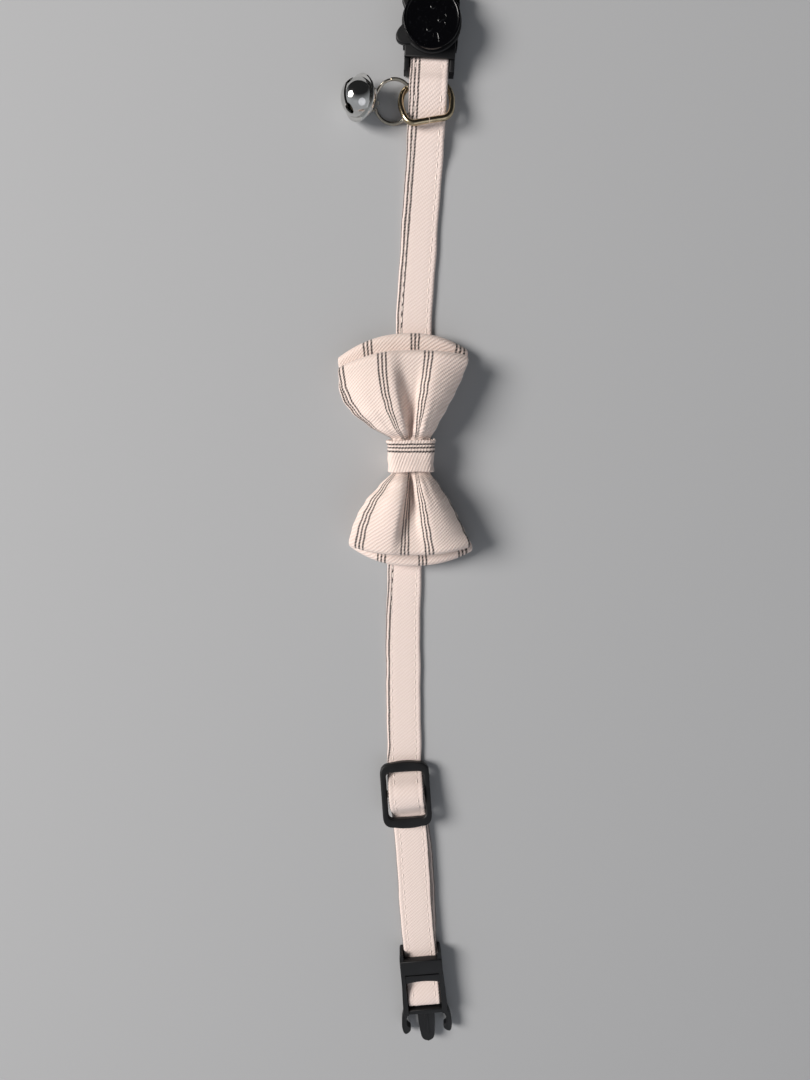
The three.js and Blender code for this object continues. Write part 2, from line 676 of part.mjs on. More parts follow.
function makeSlider() {
  const [half, long] = [SLIDER_WIDTH / 2, SLIDER_LENGTH / 2 - 0.4];
  const frame = bowedFrame(half, long, 3.4, 0.8);
  const inside = long - SLIDER_END_BAR;
  frame.holes.push(bowedFrame(half - SLIDER_SIDE_BAR, inside, 1.6, 0));
  const level = underCover + GAP / 2 - SLIDER_TILT * inside + SLIDER_THICK / 2;
  const plate = slab(frame, -SLIDER_THICK / 2, SLIDER_THICK / 2, 0.35).rotateX(-Math.atan(SLIDER_TILT));
  const barMiddle = onFloor + aroundBar - level;
  const reach = half - SLIDER_SIDE_BAR / 2;
  const barHalf = CROSS_BAR / 2;
  const bar = softBar(-reach, reach, -1.2, 0.7, barMiddle - barHalf, barMiddle + barHalf, 0.3);
  const whole = fuse([plate, bar]);
  const spot = onCourse(slider, { z: level });
  spot.x += SLIDER_ASIDE;
  add("slider", place(geometryOf(whole), spot), "plastic");
}

// Buckle

function makeProngHalf() {
  const base = BUCKLE_LIFT;
  const windowTop = WINDOW_LENGTH - 3.4;
  const baseTop = windowTop - WINDOW_LENGTH;
  const baseEnd = baseTop - 1.9;
  const coverEnd = windowTop + COVER_LENGTH;
  const railEnd = coverEnd + 2.4;
  const top = base + RAIL_HEIGHT;
  const rails = [-1, 1].map((side) => {
    const shape = outline([
      [railInside, baseEnd + 0.1], [railOutside, baseEnd + 0.1], [railOutside, baseTop + 3],
      [railOutside - 0.3, windowTop], [railOutside - 0.3, coverEnd], [railOutside - 0.7, railEnd - 0.6],
      [railInside + 0.3, railEnd], [railInside, railEnd - 0.6],
    ]);
    const rail = slab(shape, base, top);
    return side > 0 ? rail : mirrored(rail);
  });
  const reach = railOutside - 0.35;
  const groove = windowTop + 2.9;
  const cover = softBar(-reach, reach, groove + 0.6, coverEnd, underCover, top + 0.3, 0.35);
  const step = softBar(-reach, reach, windowTop, groove, underCover, top - 0.2, 0.35);
  const web = block(-reach, reach, groove - 0.3, groove + 0.9, underCover, top - 0.7);
  const middle = onFloor + aroundBar;
  const half = CROSS_BAR / 2;
  const inner = softBar(-railInside - 0.3, railInside + 0.3, -0.8, 1.4, middle - half, middle + half, 0.25);
  const sill = softBar(-railOutside, railOutside, baseEnd, baseTop, base, top - 0.4, 0.3);
  const low = base + (RAIL_HEIGHT - PRONG_THICK) / 2 - 0.4;
  const prong = new THREE.Shape();
  const tip = baseEnd - PRONG_LENGTH;
  prong.moveTo(-2.7, baseEnd + 0.5);
  prong.lineTo(-2.5, baseEnd - 0.45 * PRONG_LENGTH);
  prong.quadraticCurveTo(-2.1, tip, 0, tip);
  prong.quadraticCurveTo(2.1, tip, 2.5, baseEnd - 0.45 * PRONG_LENGTH);
  prong.lineTo(2.7, baseEnd + 0.5);
  const claws = [-1, 1].map((side) => {
    const far = baseEnd - CLAW_LENGTH;
    const shape = outline([
      [railOutside - 1.9, baseEnd + 0.5], [railOutside - 1.9, baseEnd - 0.5],
      [railOutside - 0.7, baseEnd - 1.9], [railOutside - 0.5, far + 3.1],
      [railOutside - 1.5, far + 2.2], [railOutside - 1.7, far + 1.2],
      [railOutside - 0.6, far + 0.1], [railOutside + 0.3, far], [railOutside + 0.9, far + 1],
      [railOutside + 1.1, far + 3], [railOutside + 0.8, baseEnd - 1.6], [railOutside, baseEnd + 0.5],
    ]);
    const claw = slab(shape, low, low + PRONG_THICK, 0.25);
    return side > 0 ? claw : mirrored(claw);
  });
  const middleProng = slab(prong, low, low + PRONG_THICK, 0.3);
  const pieces = [...rails, cover, step, web, inner, sill, middleProng, ...claws];
  add("buckle_prongs", place(geometryOf(fuse(pieces)), onCourse(prongBar)), "plastic");
}

function mirrored(geometry) {
  const turned = geometry.clone().scale(-1, 1, 1);
  const flat = turned.index ? turned.toNonIndexed() : turned;
  const position = flat.attributes.position;
  for (let i = 0; i < position.count; i += 3) {
    const kept = [position.getX(i), position.getY(i), position.getZ(i)];
    position.setXYZ(i, position.getX(i + 2), position.getY(i + 2), position.getZ(i + 2));
    position.setXYZ(i + 2, ...kept);
  }
  return flat;
}

// Head with two rounded ears on its left, at bearings round its middle
function headShape() {
  const steps = 40;
  const bearings = [-1, 1].map((side) => 180 + HEAD_TURN_DEG + side * EAR_SPREAD_DEG);
  const points = Array.from({ length: steps }, (_, i) => {
    const bearing = (360 * i) / steps;
    const ears = bearings.map((ear) => Math.max(1 - Math.abs(bearing - ear) / EAR_HALF_DEG, 0));
    const rise = Math.max(...ears) ** 0.6;
    const radius = HEAD_RADIUS + (EAR_REACH - HEAD_RADIUS) * rise;
    const angle = THREE.MathUtils.degToRad(bearing);
    return [HEAD_ASIDE + radius * Math.cos(angle), HEAD_AHEAD + radius * Math.sin(angle)];
  });
  return outline(points);
}

function makeSocketHalf() {
  const base = BUCKLE_LIFT;
  const top = socketWrapTop + STRAP_THICK / 2 + GAP;
  const back = aroundBar + STRAP_THICK / 2 + GAP;
  const mouth = back + SOCKET_DEPTH;
  const arms = [-1, 1].map((side) => {
    const [near, far] = [side * railInside, side * (railOutside - 0.3)];
    return block(Math.min(near, far), Math.max(near, far), -ARM_LENGTH, back + 0.5, base, top);
  });
  const reach = railOutside - 0.3;
  const middle = onFloor + aroundBar;
  const half = CROSS_BAR / 2;
  const bar = softBar(-railInside - 0.3, railInside + 0.3, -2, 0.2, middle - half, middle + half, 0.25);
  const lid = softBar(-reach, reach, -1.9, back + 1, top - 0.05, top + 1.1, 0.3);
  const body = block(-railOutside - 0.2, railOutside + 0.2, back, mouth, base, top + 0.3);
  const slope = slab(headShape(), top - 0.1, top + HEAD_THICK, 0.3);
  const [inside, outside] = [railOutside - 0.8, railOutside + 2];
  const [floor, ceiling] = [base + SOCKET_WALL, top - SOCKET_WALL];
  const room = block(-inside, inside, back + 2, mouth + 1, floor, ceiling);
  const windows = block(-outside, outside, back + 6, back + 10, floor, ceiling);
  const whole = cut(fuse([...arms, bar, lid, body, slope]), [room, windows]);
  add("buckle_socket", place(geometryOf(whole), onCourse(socketBar)), "plastic");
}

// Face on the disc, drawn with its ears to the left: shares of the disc's radius
const FACE = [
  { part: "eye", x: -0.04, y: 0.37, size: 0.1, long: 0.1, turn: 0 },
  { part: "eye", x: -0.04, y: -0.37, size: 0.1, long: 0.1, turn: 0 },
  { part: "nose", x: 0.28, y: 0, size: 0.11, long: 0.11, turn: 0 },
  { part: "mouth", x: 0.42, y: 0.1, size: 0.045, long: 0.24, turn: 50 },
  { part: "mouth", x: 0.42, y: -0.1, size: 0.045, long: 0.24, turn: 130 },
  { part: "whisker", x: 0.16, y: 0.62, size: 0.035, long: 0.3, turn: 80 },
  { part: "whisker", x: 0.34, y: 0.58, size: 0.035, long: 0.3, turn: 64 },
  { part: "whisker", x: 0.16, y: -0.62, size: 0.035, long: 0.3, turn: 100 },
  { part: "whisker", x: 0.34, y: -0.58, size: 0.035, long: 0.3, turn: 116 },
];

function makeFaceDisc() {
  const top = socketWrapTop + STRAP_THICK / 2 + GAP + HEAD_THICK;
  const low = top + GAP;
  const rim = DISC_THICK + 0.25;
  const profile = [
    [0, 0], [DISC_RADIUS - 0.35, 0], [DISC_RADIUS, 0.35], [DISC_RADIUS, rim - 0.3],
    [DISC_RADIUS - 0.25, rim], [DISC_RADIUS - 0.7, rim], [DISC_RADIUS - 0.95, DISC_THICK], [0, DISC_THICK],
  ].map(([x, y]) => new THREE.Vector2(x, y));
  const disc = new THREE.LatheGeometry(profile, 36).rotateX(Math.PI / 2);
  const relief = FACE.map(({ part, x, y, size, long, turn }) => {
    const round = part === "eye" || part === "nose";
    const height = 0.3;
    const wide = size * DISC_RADIUS;
    const bump = round
      ? new THREE.CylinderGeometry(0.7 * wide, wide, 2 * height, 10).rotateX(Math.PI / 2)
      : new THREE.BoxGeometry(long * DISC_RADIUS, wide, 1.4 * height);
    bump.rotateZ(THREE.MathUtils.degToRad(turn));
    return bump.translate(x * DISC_RADIUS, y * DISC_RADIUS, DISC_THICK);
  });
  const face = geometryOf(fuse([disc, ...relief]));
  face.rotateZ(THREE.MathUtils.degToRad(HEAD_TURN_DEG)).translate(HEAD_ASIDE, HEAD_AHEAD, low);
  add("face_disc", place(face, onCourse(socketBar)), "glossy");
}

makeStrap();
makeBow();
makeDRing();
makeSplitRing();
makeBell();
makeSlider();
makeProngHalf();
makeSocketHalf();
makeFaceDisc();

// The origin is on the floor below the middle of the whole collar.
const bounds = new THREE.Box3().setFromObject(collar);
const middle = bounds.getCenter(new THREE.Vector3());
collar.position.set(-middle.x, -middle.y, -bounds.min.z);

export default collar;
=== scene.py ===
"""Pet bow tie collar, unfastened and laid out straight with its front up."""

import math

import bmesh
import bpy
from mathutils import Matrix, Vector


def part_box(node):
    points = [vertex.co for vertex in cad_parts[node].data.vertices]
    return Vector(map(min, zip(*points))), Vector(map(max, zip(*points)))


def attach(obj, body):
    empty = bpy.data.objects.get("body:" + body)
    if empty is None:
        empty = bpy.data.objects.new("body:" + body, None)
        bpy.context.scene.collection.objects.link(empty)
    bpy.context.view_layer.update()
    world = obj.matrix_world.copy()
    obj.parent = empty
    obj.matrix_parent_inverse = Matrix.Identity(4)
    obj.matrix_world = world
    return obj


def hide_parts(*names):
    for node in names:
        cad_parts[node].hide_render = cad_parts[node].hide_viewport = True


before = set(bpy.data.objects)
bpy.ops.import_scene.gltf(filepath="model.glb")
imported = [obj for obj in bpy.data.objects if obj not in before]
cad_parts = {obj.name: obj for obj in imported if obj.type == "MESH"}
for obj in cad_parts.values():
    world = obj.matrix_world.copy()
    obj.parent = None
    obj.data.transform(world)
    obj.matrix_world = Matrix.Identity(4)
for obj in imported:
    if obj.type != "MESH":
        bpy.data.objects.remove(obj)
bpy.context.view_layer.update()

MM = 0.001

# Strap, in millimetres, and places along it measured from the middle of the knot
STRAP_WIDTH = 10
STRAP_THICK = 1.3
GAP = 0.3
CROSS_BAR = 1.4
KNOT_TO_D_BAR = 87.9
D_BAR_TO_SOCKET_BAR = 15.8
KNOT_TO_SLIDER = 102.65
KNOT_TO_PRONG_BAR = 172

# Bow
CLOTH = 1
PANEL_GAP = 0.2
KNOT_LENGTH = 8.8
WAIST_WIDTH = 10.4
FOLD_RISE = 2.4
PLEAT_RISE = 0.9
SIDE_DROOP = 1.3

# D-ring and split ring
D_WIRE = 1.6
RING_WIRE = 0.8
RING_RADIUS = 5
RING_LEFT_REST = 1.4
RING_RISE_TO_RIGHT = 0.18
RING_RISE_TO_BUCKLE = 0.32
RING_ASIDE = -4.65
RING_ABOVE_D_BAR = 5.45

on_floor = STRAP_THICK / 2
on_layer = on_floor + STRAP_THICK + GAP
around_bar = (CROSS_BAR + STRAP_THICK) / 2 + GAP
wrap_top = on_floor + 2 * around_bar
knot_floor = CLOTH + GAP + STRAP_THICK / 2
over_slider = on_floor + 2 * around_bar + STRAP_THICK + GAP

low_corner, high_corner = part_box("bow_knot")
knot_middle = (low_corner + high_corner) / (2 * MM)
knot_middle.z = 0

slider_at = -KNOT_TO_SLIDER
prong_bar = -KNOT_TO_PRONG_BAR
d_bar = KNOT_TO_D_BAR
socket_bar = KNOT_TO_D_BAR + D_BAR_TO_SOCKET_BAR

# The strap's course over the floor: how far along, how far aside and how it leans there
COURSE = [
    (prong_bar - 20, 6.31, -0.09),
    (prong_bar + 18, 2.89, -0.09),
    (slider_at - 25, 1.05, -0.055),
    (slider_at - 11, 0.1, -0.09),
    (slider_at, -1.25, -0.07),
    (slider_at + 12, -1.85, -0.01),
    (slider_at + 45, -2.2, 0),
    (-35, -1.8, 0.035),
    (0, 0, 0.04),
    (38, 0.94, 0.045),
    (d_bar - 30, 2.16, 0.063),
    (d_bar - 3, 3.94, 0.06),
    (socket_bar - 4, 4.6, 0.047),
    (socket_bar + 25, 5.96, 0.047),
]


def course_at(along):
    """How far aside the strap's middle lies at a place along it, and its lean."""
    last = len(COURSE) - 1
    i = next((k for k in range(1, last) if COURSE[k][0] >= along), last)
    (a0, aside0, lean0), (a1, aside1, lean1) = COURSE[i - 1], COURSE[i]
    span = a1 - a0
    s = (along - a0) / span
    aside = (
        (2 * s**3 - 3 * s**2 + 1) * aside0 + (s**3 - 2 * s**2 + s) * span * lean0
        + (3 * s**2 - 2 * s**3) * aside1 + (s**3 - s**2) * span * lean1
    )
    lean = (
        (6 * s**2 - 6 * s) * (aside0 - aside1) / span
        + (3 * s**2 - 4 * s + 1) * lean0 + (3 * s**2 - 2 * s) * lean1
    )
    return aside, lean


def along_table(rows, at):
    """Values of a table's rows at a place along it, eased between rows."""
    last = len(rows) - 1
    i = next((k for k in range(1, last) if rows[k][0] >= at), last)
    a, b = rows[i - 1], rows[i]
    share = min(max((at - a[0]) / (b[0] - a[0]), 0), 1)
    eased = (share + share * share * (3 - 2 * share)) / 2
    return [p + (q - p) * eased for p, q in zip(a[1:], b[1:])]


def smooth_path(points, step, closed=False):
    """Points no more than a step apart on a smooth curve through the given ones."""
    count = len(points)
    spans = count if closed else count - 1
    path = []
    for i in range(spans):
        p1, p2 = points[i], points[(i + 1) % count]
        p0 = points[i - 1] if closed or i > 0 else 2 * p1 - p2
        p3 = points[(i + 2) % count] if closed or i + 2 < count else 2 * p2 - p1
        d0, d1, d2 = [max((b - a).length ** 0.5, 1e-4) for a, b in ((p0, p1), (p1, p2), (p2, p3))]
        t1 = ((p1 - p0) / d0 - (p2 - p0) / (d0 + d1) + (p2 - p1) / d1) * d1
        t2 = ((p2 - p1) / d1 - (p3 - p1) / (d1 + d2) + (p3 - p2) / d2) * d1
        parts = max(math.ceil((p2 - p1).length / step), 1)
        for k in range(parts):
            s = k / parts
            path.append(
                p1 + t1 * s + (3 * (p2 - p1) - 2 * t1 - t2) * s**2 + (2 * (p1 - p2) + t1 + t2) * s**3
            )
    if not closed:
        path.append(points[-1])
    return path


def half_turn(along, level, radius, start, end):
    """Half a turn round a bar, as places along and levels."""
    angles = [math.radians(start + (end - start) * i / 6) for i in range(7)]
    return [(along + radius * math.cos(a), level + radius * math.sin(a)) for a in angles]


def ring_level(dx, dy):
    """Level of the tilted split ring's middle plane, away from the ring's middle."""
    middle = RING_LEFT_REST + RING_RADIUS * RING_RISE_TO_RIGHT
    return middle + dx * RING_RISE_TO_RIGHT + dy * RING_RISE_TO_BUCKLE


def over_ring(share):
    """Level of the strap where it lies on the ring's right side, by a share of its radius."""
    dy = share * RING_RADIUS
    dx = math.sqrt(RING_RADIUS**2 - dy**2)
    return ring_level(dx, dy) + RING_WIRE / 2 + GAP + STRAP_THICK / 2


def strap_route():
    """Places along and levels of the strap's middle, from its end under the D-ring."""
    ring = d_bar + RING_ABOVE_D_BAR
    edge = KNOT_LENGTH / 2
    bar = on_floor + around_bar
    between = (slider_at + prong_bar) / 2
    rows = [(d_bar - 3, on_floor), (d_bar + 4, on_floor), (socket_bar - 4, on_floor)]
    rows += half_turn(socket_bar, bar, around_bar, -90, 90)
    rows += [
        (socket_bar - 2, wrap_top),
        (socket_bar - 4.2, wrap_top + 0.55),
        (ring + 0.8 * RING_RADIUS, over_ring(0.76)),
        (ring + 0.35 * RING_RADIUS, over_ring(0.35) + 0.1),
        (ring, over_ring(0) + 0.05),
        (ring - 0.45 * RING_RADIUS, over_ring(-0.45)),
        (ring - 0.75 * RING_RADIUS, over_ring(-0.75)),
        (d_bar + 0.5, on_layer + 0.5),
        (d_bar - 1, on_layer + 0.12),
        (d_bar - 4, on_layer),
        (d_bar - 10, on_floor + 0.3),
        (d_bar - 16, on_floor),
        (d_bar * 0.55, on_floor),
        (edge + 12, on_floor),
        (edge + 1.5, knot_floor),
        (-edge - 1.5, knot_floor),
        (-edge - 12, on_floor),
        (slider_at * 0.55, on_floor),
        (slider_at + 13, on_floor),
        (slider_at + 8.6, on_floor),
        (slider_at + 6.9, on_floor + 0.1),
        (slider_at + 6, on_floor + 0.6),
        (slider_at + 4.4, on_floor + 2.2),
        (slider_at + 3, over_slider - 1.05),
        (slider_at + 1.6, over_slider - 0.15),
        (slider_at - 0.2, over_slider + 0.05),
        (slider_at - 3, over_slider - 0.65),
        (slider_at - 4.9, on_layer + 1.15),
        (slider_at - 6.5, on_layer + 0.22),
        (slider_at - 8, on_layer),
        (slider_at - 24, on_layer),
        (between, on_layer),
        (prong_bar + 14, on_layer),
        (prong_bar + 6.4, on_layer),
        (prong_bar + 4.4, on_layer + 0.4),
        (prong_bar + 2.2, wrap_top - 0.3),
    ]
    rows += half_turn(prong_bar - 0.6, bar, around_bar, 90, 270)
    route = [Vector((0, along, up)) for along, up in rows + [(prong_bar + 14, on_floor)]]
    route += [
        Vector((0.7, prong_bar + 26, on_floor)),
        Vector((1, between, on_floor)),
        Vector((0.6, slider_at - 14, on_floor)),
        Vector((0, slider_at - 6, on_floor)),
    ]
    route += [Vector((0, *row)) for row in half_turn(slider_at + 0.4, bar, around_bar, -90, 90)]
    route += [Vector((0, slider_at - 1.4, wrap_top - 0.05)), Vector((0, slider_at - 3.2, wrap_top - 0.5))]
    return route


# Mesh helpers: shapes are drawn in millimetres and turned to metres when a piece is finished.
SAME_SPOT = 0.001
# Edges that turn more than this, in radians, are rims and are softened.
RIM_ANGLE = 0.8


def finished(name, bm, material, sharp=35):
    """A piece of the collar from its bmesh, riding on the collar's one body."""
    bmesh.ops.scale(bm, vec=(MM, MM, MM), verts=bm.verts)
    mesh = bpy.data.meshes.new(name)
    bm.to_mesh(mesh)
    bm.free()
    mesh.shade_smooth()
    mesh.set_sharp_from_angle(angle=math.radians(sharp))
    piece = bpy.data.objects.new(name, mesh)
    bpy.context.scene.collection.objects.link(piece)
    mesh.materials.append(material)
    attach(piece, "root")
    return piece


def cloth_grid(across, along, shape):
    """A sheet of quads placed by shape(u, v), with maps of the cut cloth and of its weave."""
    bm = bmesh.new()
    bmesh.ops.create_grid(bm, x_segments=across, y_segments=along, size=0.5)
    cut = bm.loops.layers.uv.new("cut")
    weave = bm.loops.layers.uv.new("weave")
    spots = {vert: shape(vert.co.x + 0.5, vert.co.y + 0.5) for vert in bm.verts}
    for vert, (point, _, _) in spots.items():
        vert.co = point
    for face in bm.faces:
        for loop in face.loops:
            loop[cut].uv = spots[loop.vert][1]
            loop[weave].uv = spots[loop.vert][2]
    bmesh.ops.remove_doubles(bm, verts=bm.verts, dist=SAME_SPOT)
    return bm


def outward(bm):
    """The same faces, all turned outward."""
    bmesh.ops.recalc_face_normals(bm, faces=bm.faces)
    return bm


def joined(parts):
    """One bmesh that holds all the parts."""
    whole = bmesh.new()
    for part in parts:
        mesh = bpy.data.meshes.new("part")
        part.to_mesh(mesh)
        part.free()
        whole.from_mesh(mesh)
        bpy.data.meshes.remove(mesh)
    return whole


def moved(bm, matrix):
    """The same shape after a transform."""
    bmesh.ops.transform(bm, matrix=matrix, verts=bm.verts)
    return bm


def rim(bm, points, level):
    """A closed line of edges through flat points at one level."""
    verts = [bm.verts.new((x, y, level)) for x, y in points]
    return [bm.edges.new((a, b)) for a, b in zip(verts, verts[1:] + verts[:1])]


def plate(points, low, high, soft, hole=None, segments=3):
    """A flat plate with softened rims, cut along its outline and its hole."""
    bm = bmesh.new()
    edges = rim(bm, points, low)
    if hole:
        bmesh.ops.bridge_loops(bm, edges=edges + rim(bm, hole, low))
    else:
        bmesh.ops.contextual_create(bm, geom=edges)
    grown = bmesh.ops.extrude_face_region(bm, geom=bm.faces[:])["geom"]
    risen = [part for part in grown if isinstance(part, bmesh.types.BMVert)]
    bmesh.ops.translate(bm, vec=(0, 0, high - low), verts=risen)
    outward(bm)
    level = [e for e in bm.edges if abs(e.verts[0].co.z - e.verts[1].co.z) < 1e-6]
    rims = [e for e in level if e.calc_face_angle(0) > RIM_ANGLE]
    bmesh.ops.bevel(
        bm, geom=rims, offset=soft, offset_type="OFFSET", segments=segments, profile=0.5,
        affect="EDGES", clamp_overlap=True, material=-1)
    return bm


def rounded(corners, steps=6):
    """An outline through corners given as x, y and how far its rounding reaches."""
    points = []
    for k, (x, y, reach) in enumerate(corners):
        corner = Vector((x, y))
        before = Vector(corners[k - 1][:2]) - corner
        after = Vector(corners[(k + 1) % len(corners)][:2]) - corner
        if not reach:
            points.append((x, y))
            continue
        a = corner + before.normalized() * min(reach, before.length / 2)
        b = corner + after.normalized() * min(reach, after.length / 2)
        for i in range(steps + 1):
            t = i / steps
            spot = a * (1 - t) ** 2 + corner * 2 * t * (1 - t) + b * t**2
            points.append((spot.x, spot.y))
    return points


def bar(x0, x1, y0, y1, z0, z1, soft):
    """A straight moulded bar with softened rims."""
    return plate([(x0, y0), (x1, y0), (x1, y1), (x0, y1)], z0, z1, soft)


def wire(points, radius, closed=False, sides=12):
    """Round wire along a line of points."""
    curve = bpy.data.curves.new("wire", "CURVE")
    curve.dimensions = "3D"
    curve.bevel_depth = radius
    curve.bevel_resolution = sides // 2 - 2
    curve.use_fill_caps = True
    spline = curve.splines.new("POLY")
    spline.points.add(len(points) - 1)
    for spot, point in zip(spline.points, points):
        spot.co = (*point, 1)
    spline.use_cyclic_u = closed
    holder = bpy.data.objects.new("wire", curve)
    bpy.context.scene.collection.objects.link(holder)
    bpy.context.view_layer.update()
    mesh = bpy.data.meshes.new_from_object(holder)
    bm = bmesh.new()
    bm.from_mesh(mesh)
    bpy.data.objects.remove(holder)
    bpy.data.curves.remove(curve)
    bpy.data.meshes.remove(mesh)
    bmesh.ops.remove_doubles(bm, verts=bm.verts, dist=SAME_SPOT)
    return outward(bm)


def on_course(along, level=0, aside=0):
    """Turns and moves a piece of hardware from its own middle to its place on the strap."""
    off, lean = course_at(along)
    spot = knot_middle + Vector((off + aside, along, level))
    return Matrix.Translation(spot) @ Matrix.Rotation(-math.atan(lean), 4, "Z")


# Materials

def to_linear(hexes):
    """Linear colour of an sRGB hex value."""
    parts = [int(hexes[i:i + 2], 16) / 255 for i in (1, 3, 5)]
    return [p / 12.92 if p <= 0.04045 else ((p + 0.055) / 1.055) ** 2.4 for p in parts] + [1]


def add_node(tree, kind, settings=None, links=None):
    """A new node with its settings and the links into it."""
    node = tree.nodes.new(kind)
    for key, value in (settings or {}).items():
        if isinstance(key, str) and hasattr(node, key):
            setattr(node, key, value)
        else:
            node.inputs[key].default_value = value
    for key, source in (links or {}).items():
        output = source.outputs[0] if isinstance(source, bpy.types.Node) else source
        tree.links.new(output, node.inputs[key])
    return node


def new_material(name):
    """A material, its nodes and its shader."""
    material = bpy.data.materials.new(name)
    material.use_nodes = True
    return material, material.node_tree, material.node_tree.nodes["Principled BSDF"]


# Distances on the cloth, in millimetres. The twill's ribs are 0.6 mm apart on such cloth and
# are drawn a little coarser, so that they show.
STRIPE_PITCH = 12
STRIPE_LINE = 1.03
LINE_HALF = 0.25
DASH_PITCH = 0.85
TWILL_PITCH = 0.8
YARN_PITCH = 0.55
RIB_SLOPE = 0.85
YARN_SLOPE = 1.6
# A slanting pattern's pitch is measured square to it, so along the cloth it is this much longer.
RIB_STRETCH = math.hypot(1, RIB_SLOPE)
YARN_STRETCH = math.hypot(1, YARN_SLOPE)

MATHS = "ShaderNodeMath"
RANGE = "ShaderNodeMapRange"
NOISE = "ShaderNodeTexNoise"
MIX = "ShaderNodeMix"
BUMP = "ShaderNodeBump"


def cotton(name, base, shade, relief):
    """Cotton twill with yarn-dyed triple pinstripes: matt, with a soft bloom of loose fibres."""
    material, tree, shader = new_material(name)
    cut = add_node(tree, "ShaderNodeUVMap", {"uv_map": "cut"})
    weave = add_node(tree, "ShaderNodeUVMap", {"uv_map": "weave"})
    spot = add_node(tree, "ShaderNodeSeparateXYZ", links={0: cut})
    thread = add_node(tree, "ShaderNodeSeparateXYZ", links={0: weave})
    noise = {"noise_dimensions": "2D", "Detail": 3.0}
    wander = add_node(tree, NOISE, {**noise, "Scale": 0.45}, {"Vector": weave})
    fuzz = add_node(tree, NOISE, {**noise, "Scale": 2.2, "Roughness": 0.75}, {"Vector": weave})

    # Three dark lines, the middle one on each whole pitch
    half = STRIPE_PITCH / 2
    near = add_node(tree, MATHS, {"operation": "MULTIPLY_ADD", 1: 0.3}, {0: wander, 2: spot.outputs[0]})
    near = add_node(tree, MATHS, {"operation": "WRAP", 1: half, 2: -half}, {0: near})
    off = add_node(tree, MATHS, {"operation": "ABSOLUTE"}, {0: near})
    side = add_node(tree, MATHS, {"operation": "SUBTRACT", 1: STRIPE_LINE}, {0: off})
    side = add_node(tree, MATHS, {"operation": "ABSOLUTE"}, {0: side})
    closest = add_node(tree, MATHS, {"operation": "MINIMUM"}, {0: off, 1: side})
    line = add_node(
        tree, RANGE,
        {"From Min": LINE_HALF - 0.06, "From Max": LINE_HALF + 0.08, "To Min": 1.0, "To Max": 0.0},
        {"Value": closest})

    # The dark yarns float over the pale ones in slanting dashes.
    slant = add_node(
        tree, MATHS, {"operation": "MULTIPLY_ADD", 1: -0.9}, {0: spot.outputs[0], 2: spot.outputs[1]})
    slant = add_node(tree, MATHS, {"operation": "MULTIPLY", 1: 2 * math.pi / DASH_PITCH}, {0: slant})
    slant = add_node(tree, MATHS, {"operation": "SINE"}, {0: slant})
    dashes = add_node(
        tree, RANGE, {"From Min": -0.9, "From Max": 0.1, "To Min": 0.58, "To Max": 1.0}, {"Value": slant})
    dark = add_node(tree, MATHS, {"operation": "MULTIPLY"}, {0: line, 1: dashes})

    # Ribs rise to the right; yarns break them into short floats.
    rib_turn = 2 * math.pi / (RIB_STRETCH * TWILL_PITCH)
    rib = add_node(
        tree, MATHS, {"operation": "MULTIPLY_ADD", 1: -RIB_SLOPE},
        {0: thread.outputs[0], 2: thread.outputs[1]})
    rib = add_node(tree, MATHS, {"operation": "MULTIPLY", 1: rib_turn}, {0: rib})
    rib = add_node(tree, MATHS, {"operation": "MULTIPLY_ADD", 1: 3.0}, {0: wander, 2: rib})
    rib = add_node(tree, MATHS, {"operation": "SINE"}, {0: rib})
    yarn_turn = 2 * math.pi / (YARN_STRETCH * YARN_PITCH)
    yarn = add_node(
        tree, MATHS, {"operation": "MULTIPLY_ADD", 1: YARN_SLOPE},
        {0: thread.outputs[0], 2: thread.outputs[1]})
    yarn = add_node(tree, MATHS, {"operation": "MULTIPLY", 1: yarn_turn}, {0: yarn})
    yarn = add_node(tree, MATHS, {"operation": "SINE"}, {0: yarn})
    height = add_node(tree, MATHS, {"operation": "MULTIPLY_ADD", 1: 0.4}, {0: yarn, 2: rib})
    height = add_node(tree, MATHS, {"operation": "MULTIPLY_ADD", 1: 1.8}, {0: fuzz, 2: height})

    # The weave's low places take the darker colour: painted shade in the valleys between ribs and yarns,
    # varied at random by the loose fibres.
    fuzz_and_valley_shade = add_node(tree, RANGE, {"From Min": -1.6, "From Max": 2.6}, {"Value": height})
    cloth = add_node(tree, MIX, {"data_type": "RGBA", 6: to_linear(shade), 7: to_linear(base)}, {0: fuzz_and_valley_shade})
    striped = add_node(
        tree, MIX, {"data_type": "RGBA", 7: to_linear("#211e1d")}, {0: dark, 6: cloth.outputs[2]})
    bump = add_node(tree, BUMP, {"Strength": relief, "Distance": 0.09 * MM}, {"Height": height})
    tree.links.new(striped.outputs[2], shader.inputs["Base Color"])
    tree.links.new(bump.outputs[0], shader.inputs["Normal"])
    shader.inputs["Roughness"].default_value = 0.9
    shader.inputs["Sheen Weight"].default_value = 0.2
    shader.inputs["Sheen Roughness"].default_value = 0.5
    return material


bow_twill = cotton("pinstriped_cotton_twill", "#f3e5dd", "#dcc2b6", 0.55)
strap_twill = cotton("strap_cotton_twill", "#f2e3dc", "#e3cec5", 0.28)


def cotton_thread():
    """Spun sewing cotton: pale, matt, with the light and dark of its twist."""
    material, tree, shader = new_material("spun_sewing_cotton")
    place = add_node(tree, "ShaderNodeTexCoord")
    twist = add_node(
        tree, NOISE, {"Scale": 1 / (0.5 * MM), "Detail": 3.0}, {"Vector": place.outputs["Object"]})
    tint = add_node(
        tree, MIX, {"data_type": "RGBA", 6: to_linear("#ead9cf"), 7: to_linear("#fff6ef")}, {0: twist})
    bump = add_node(tree, BUMP, {"Strength": 0.4, "Distance": 0.03 * MM}, {"Height": twist})
    tree.links.new(tint.outputs[2], shader.inputs["Base Color"])
    tree.links.new(bump.outputs[0], shader.inputs["Normal"])
    shader.inputs["Roughness"].default_value = 0.8
    return material


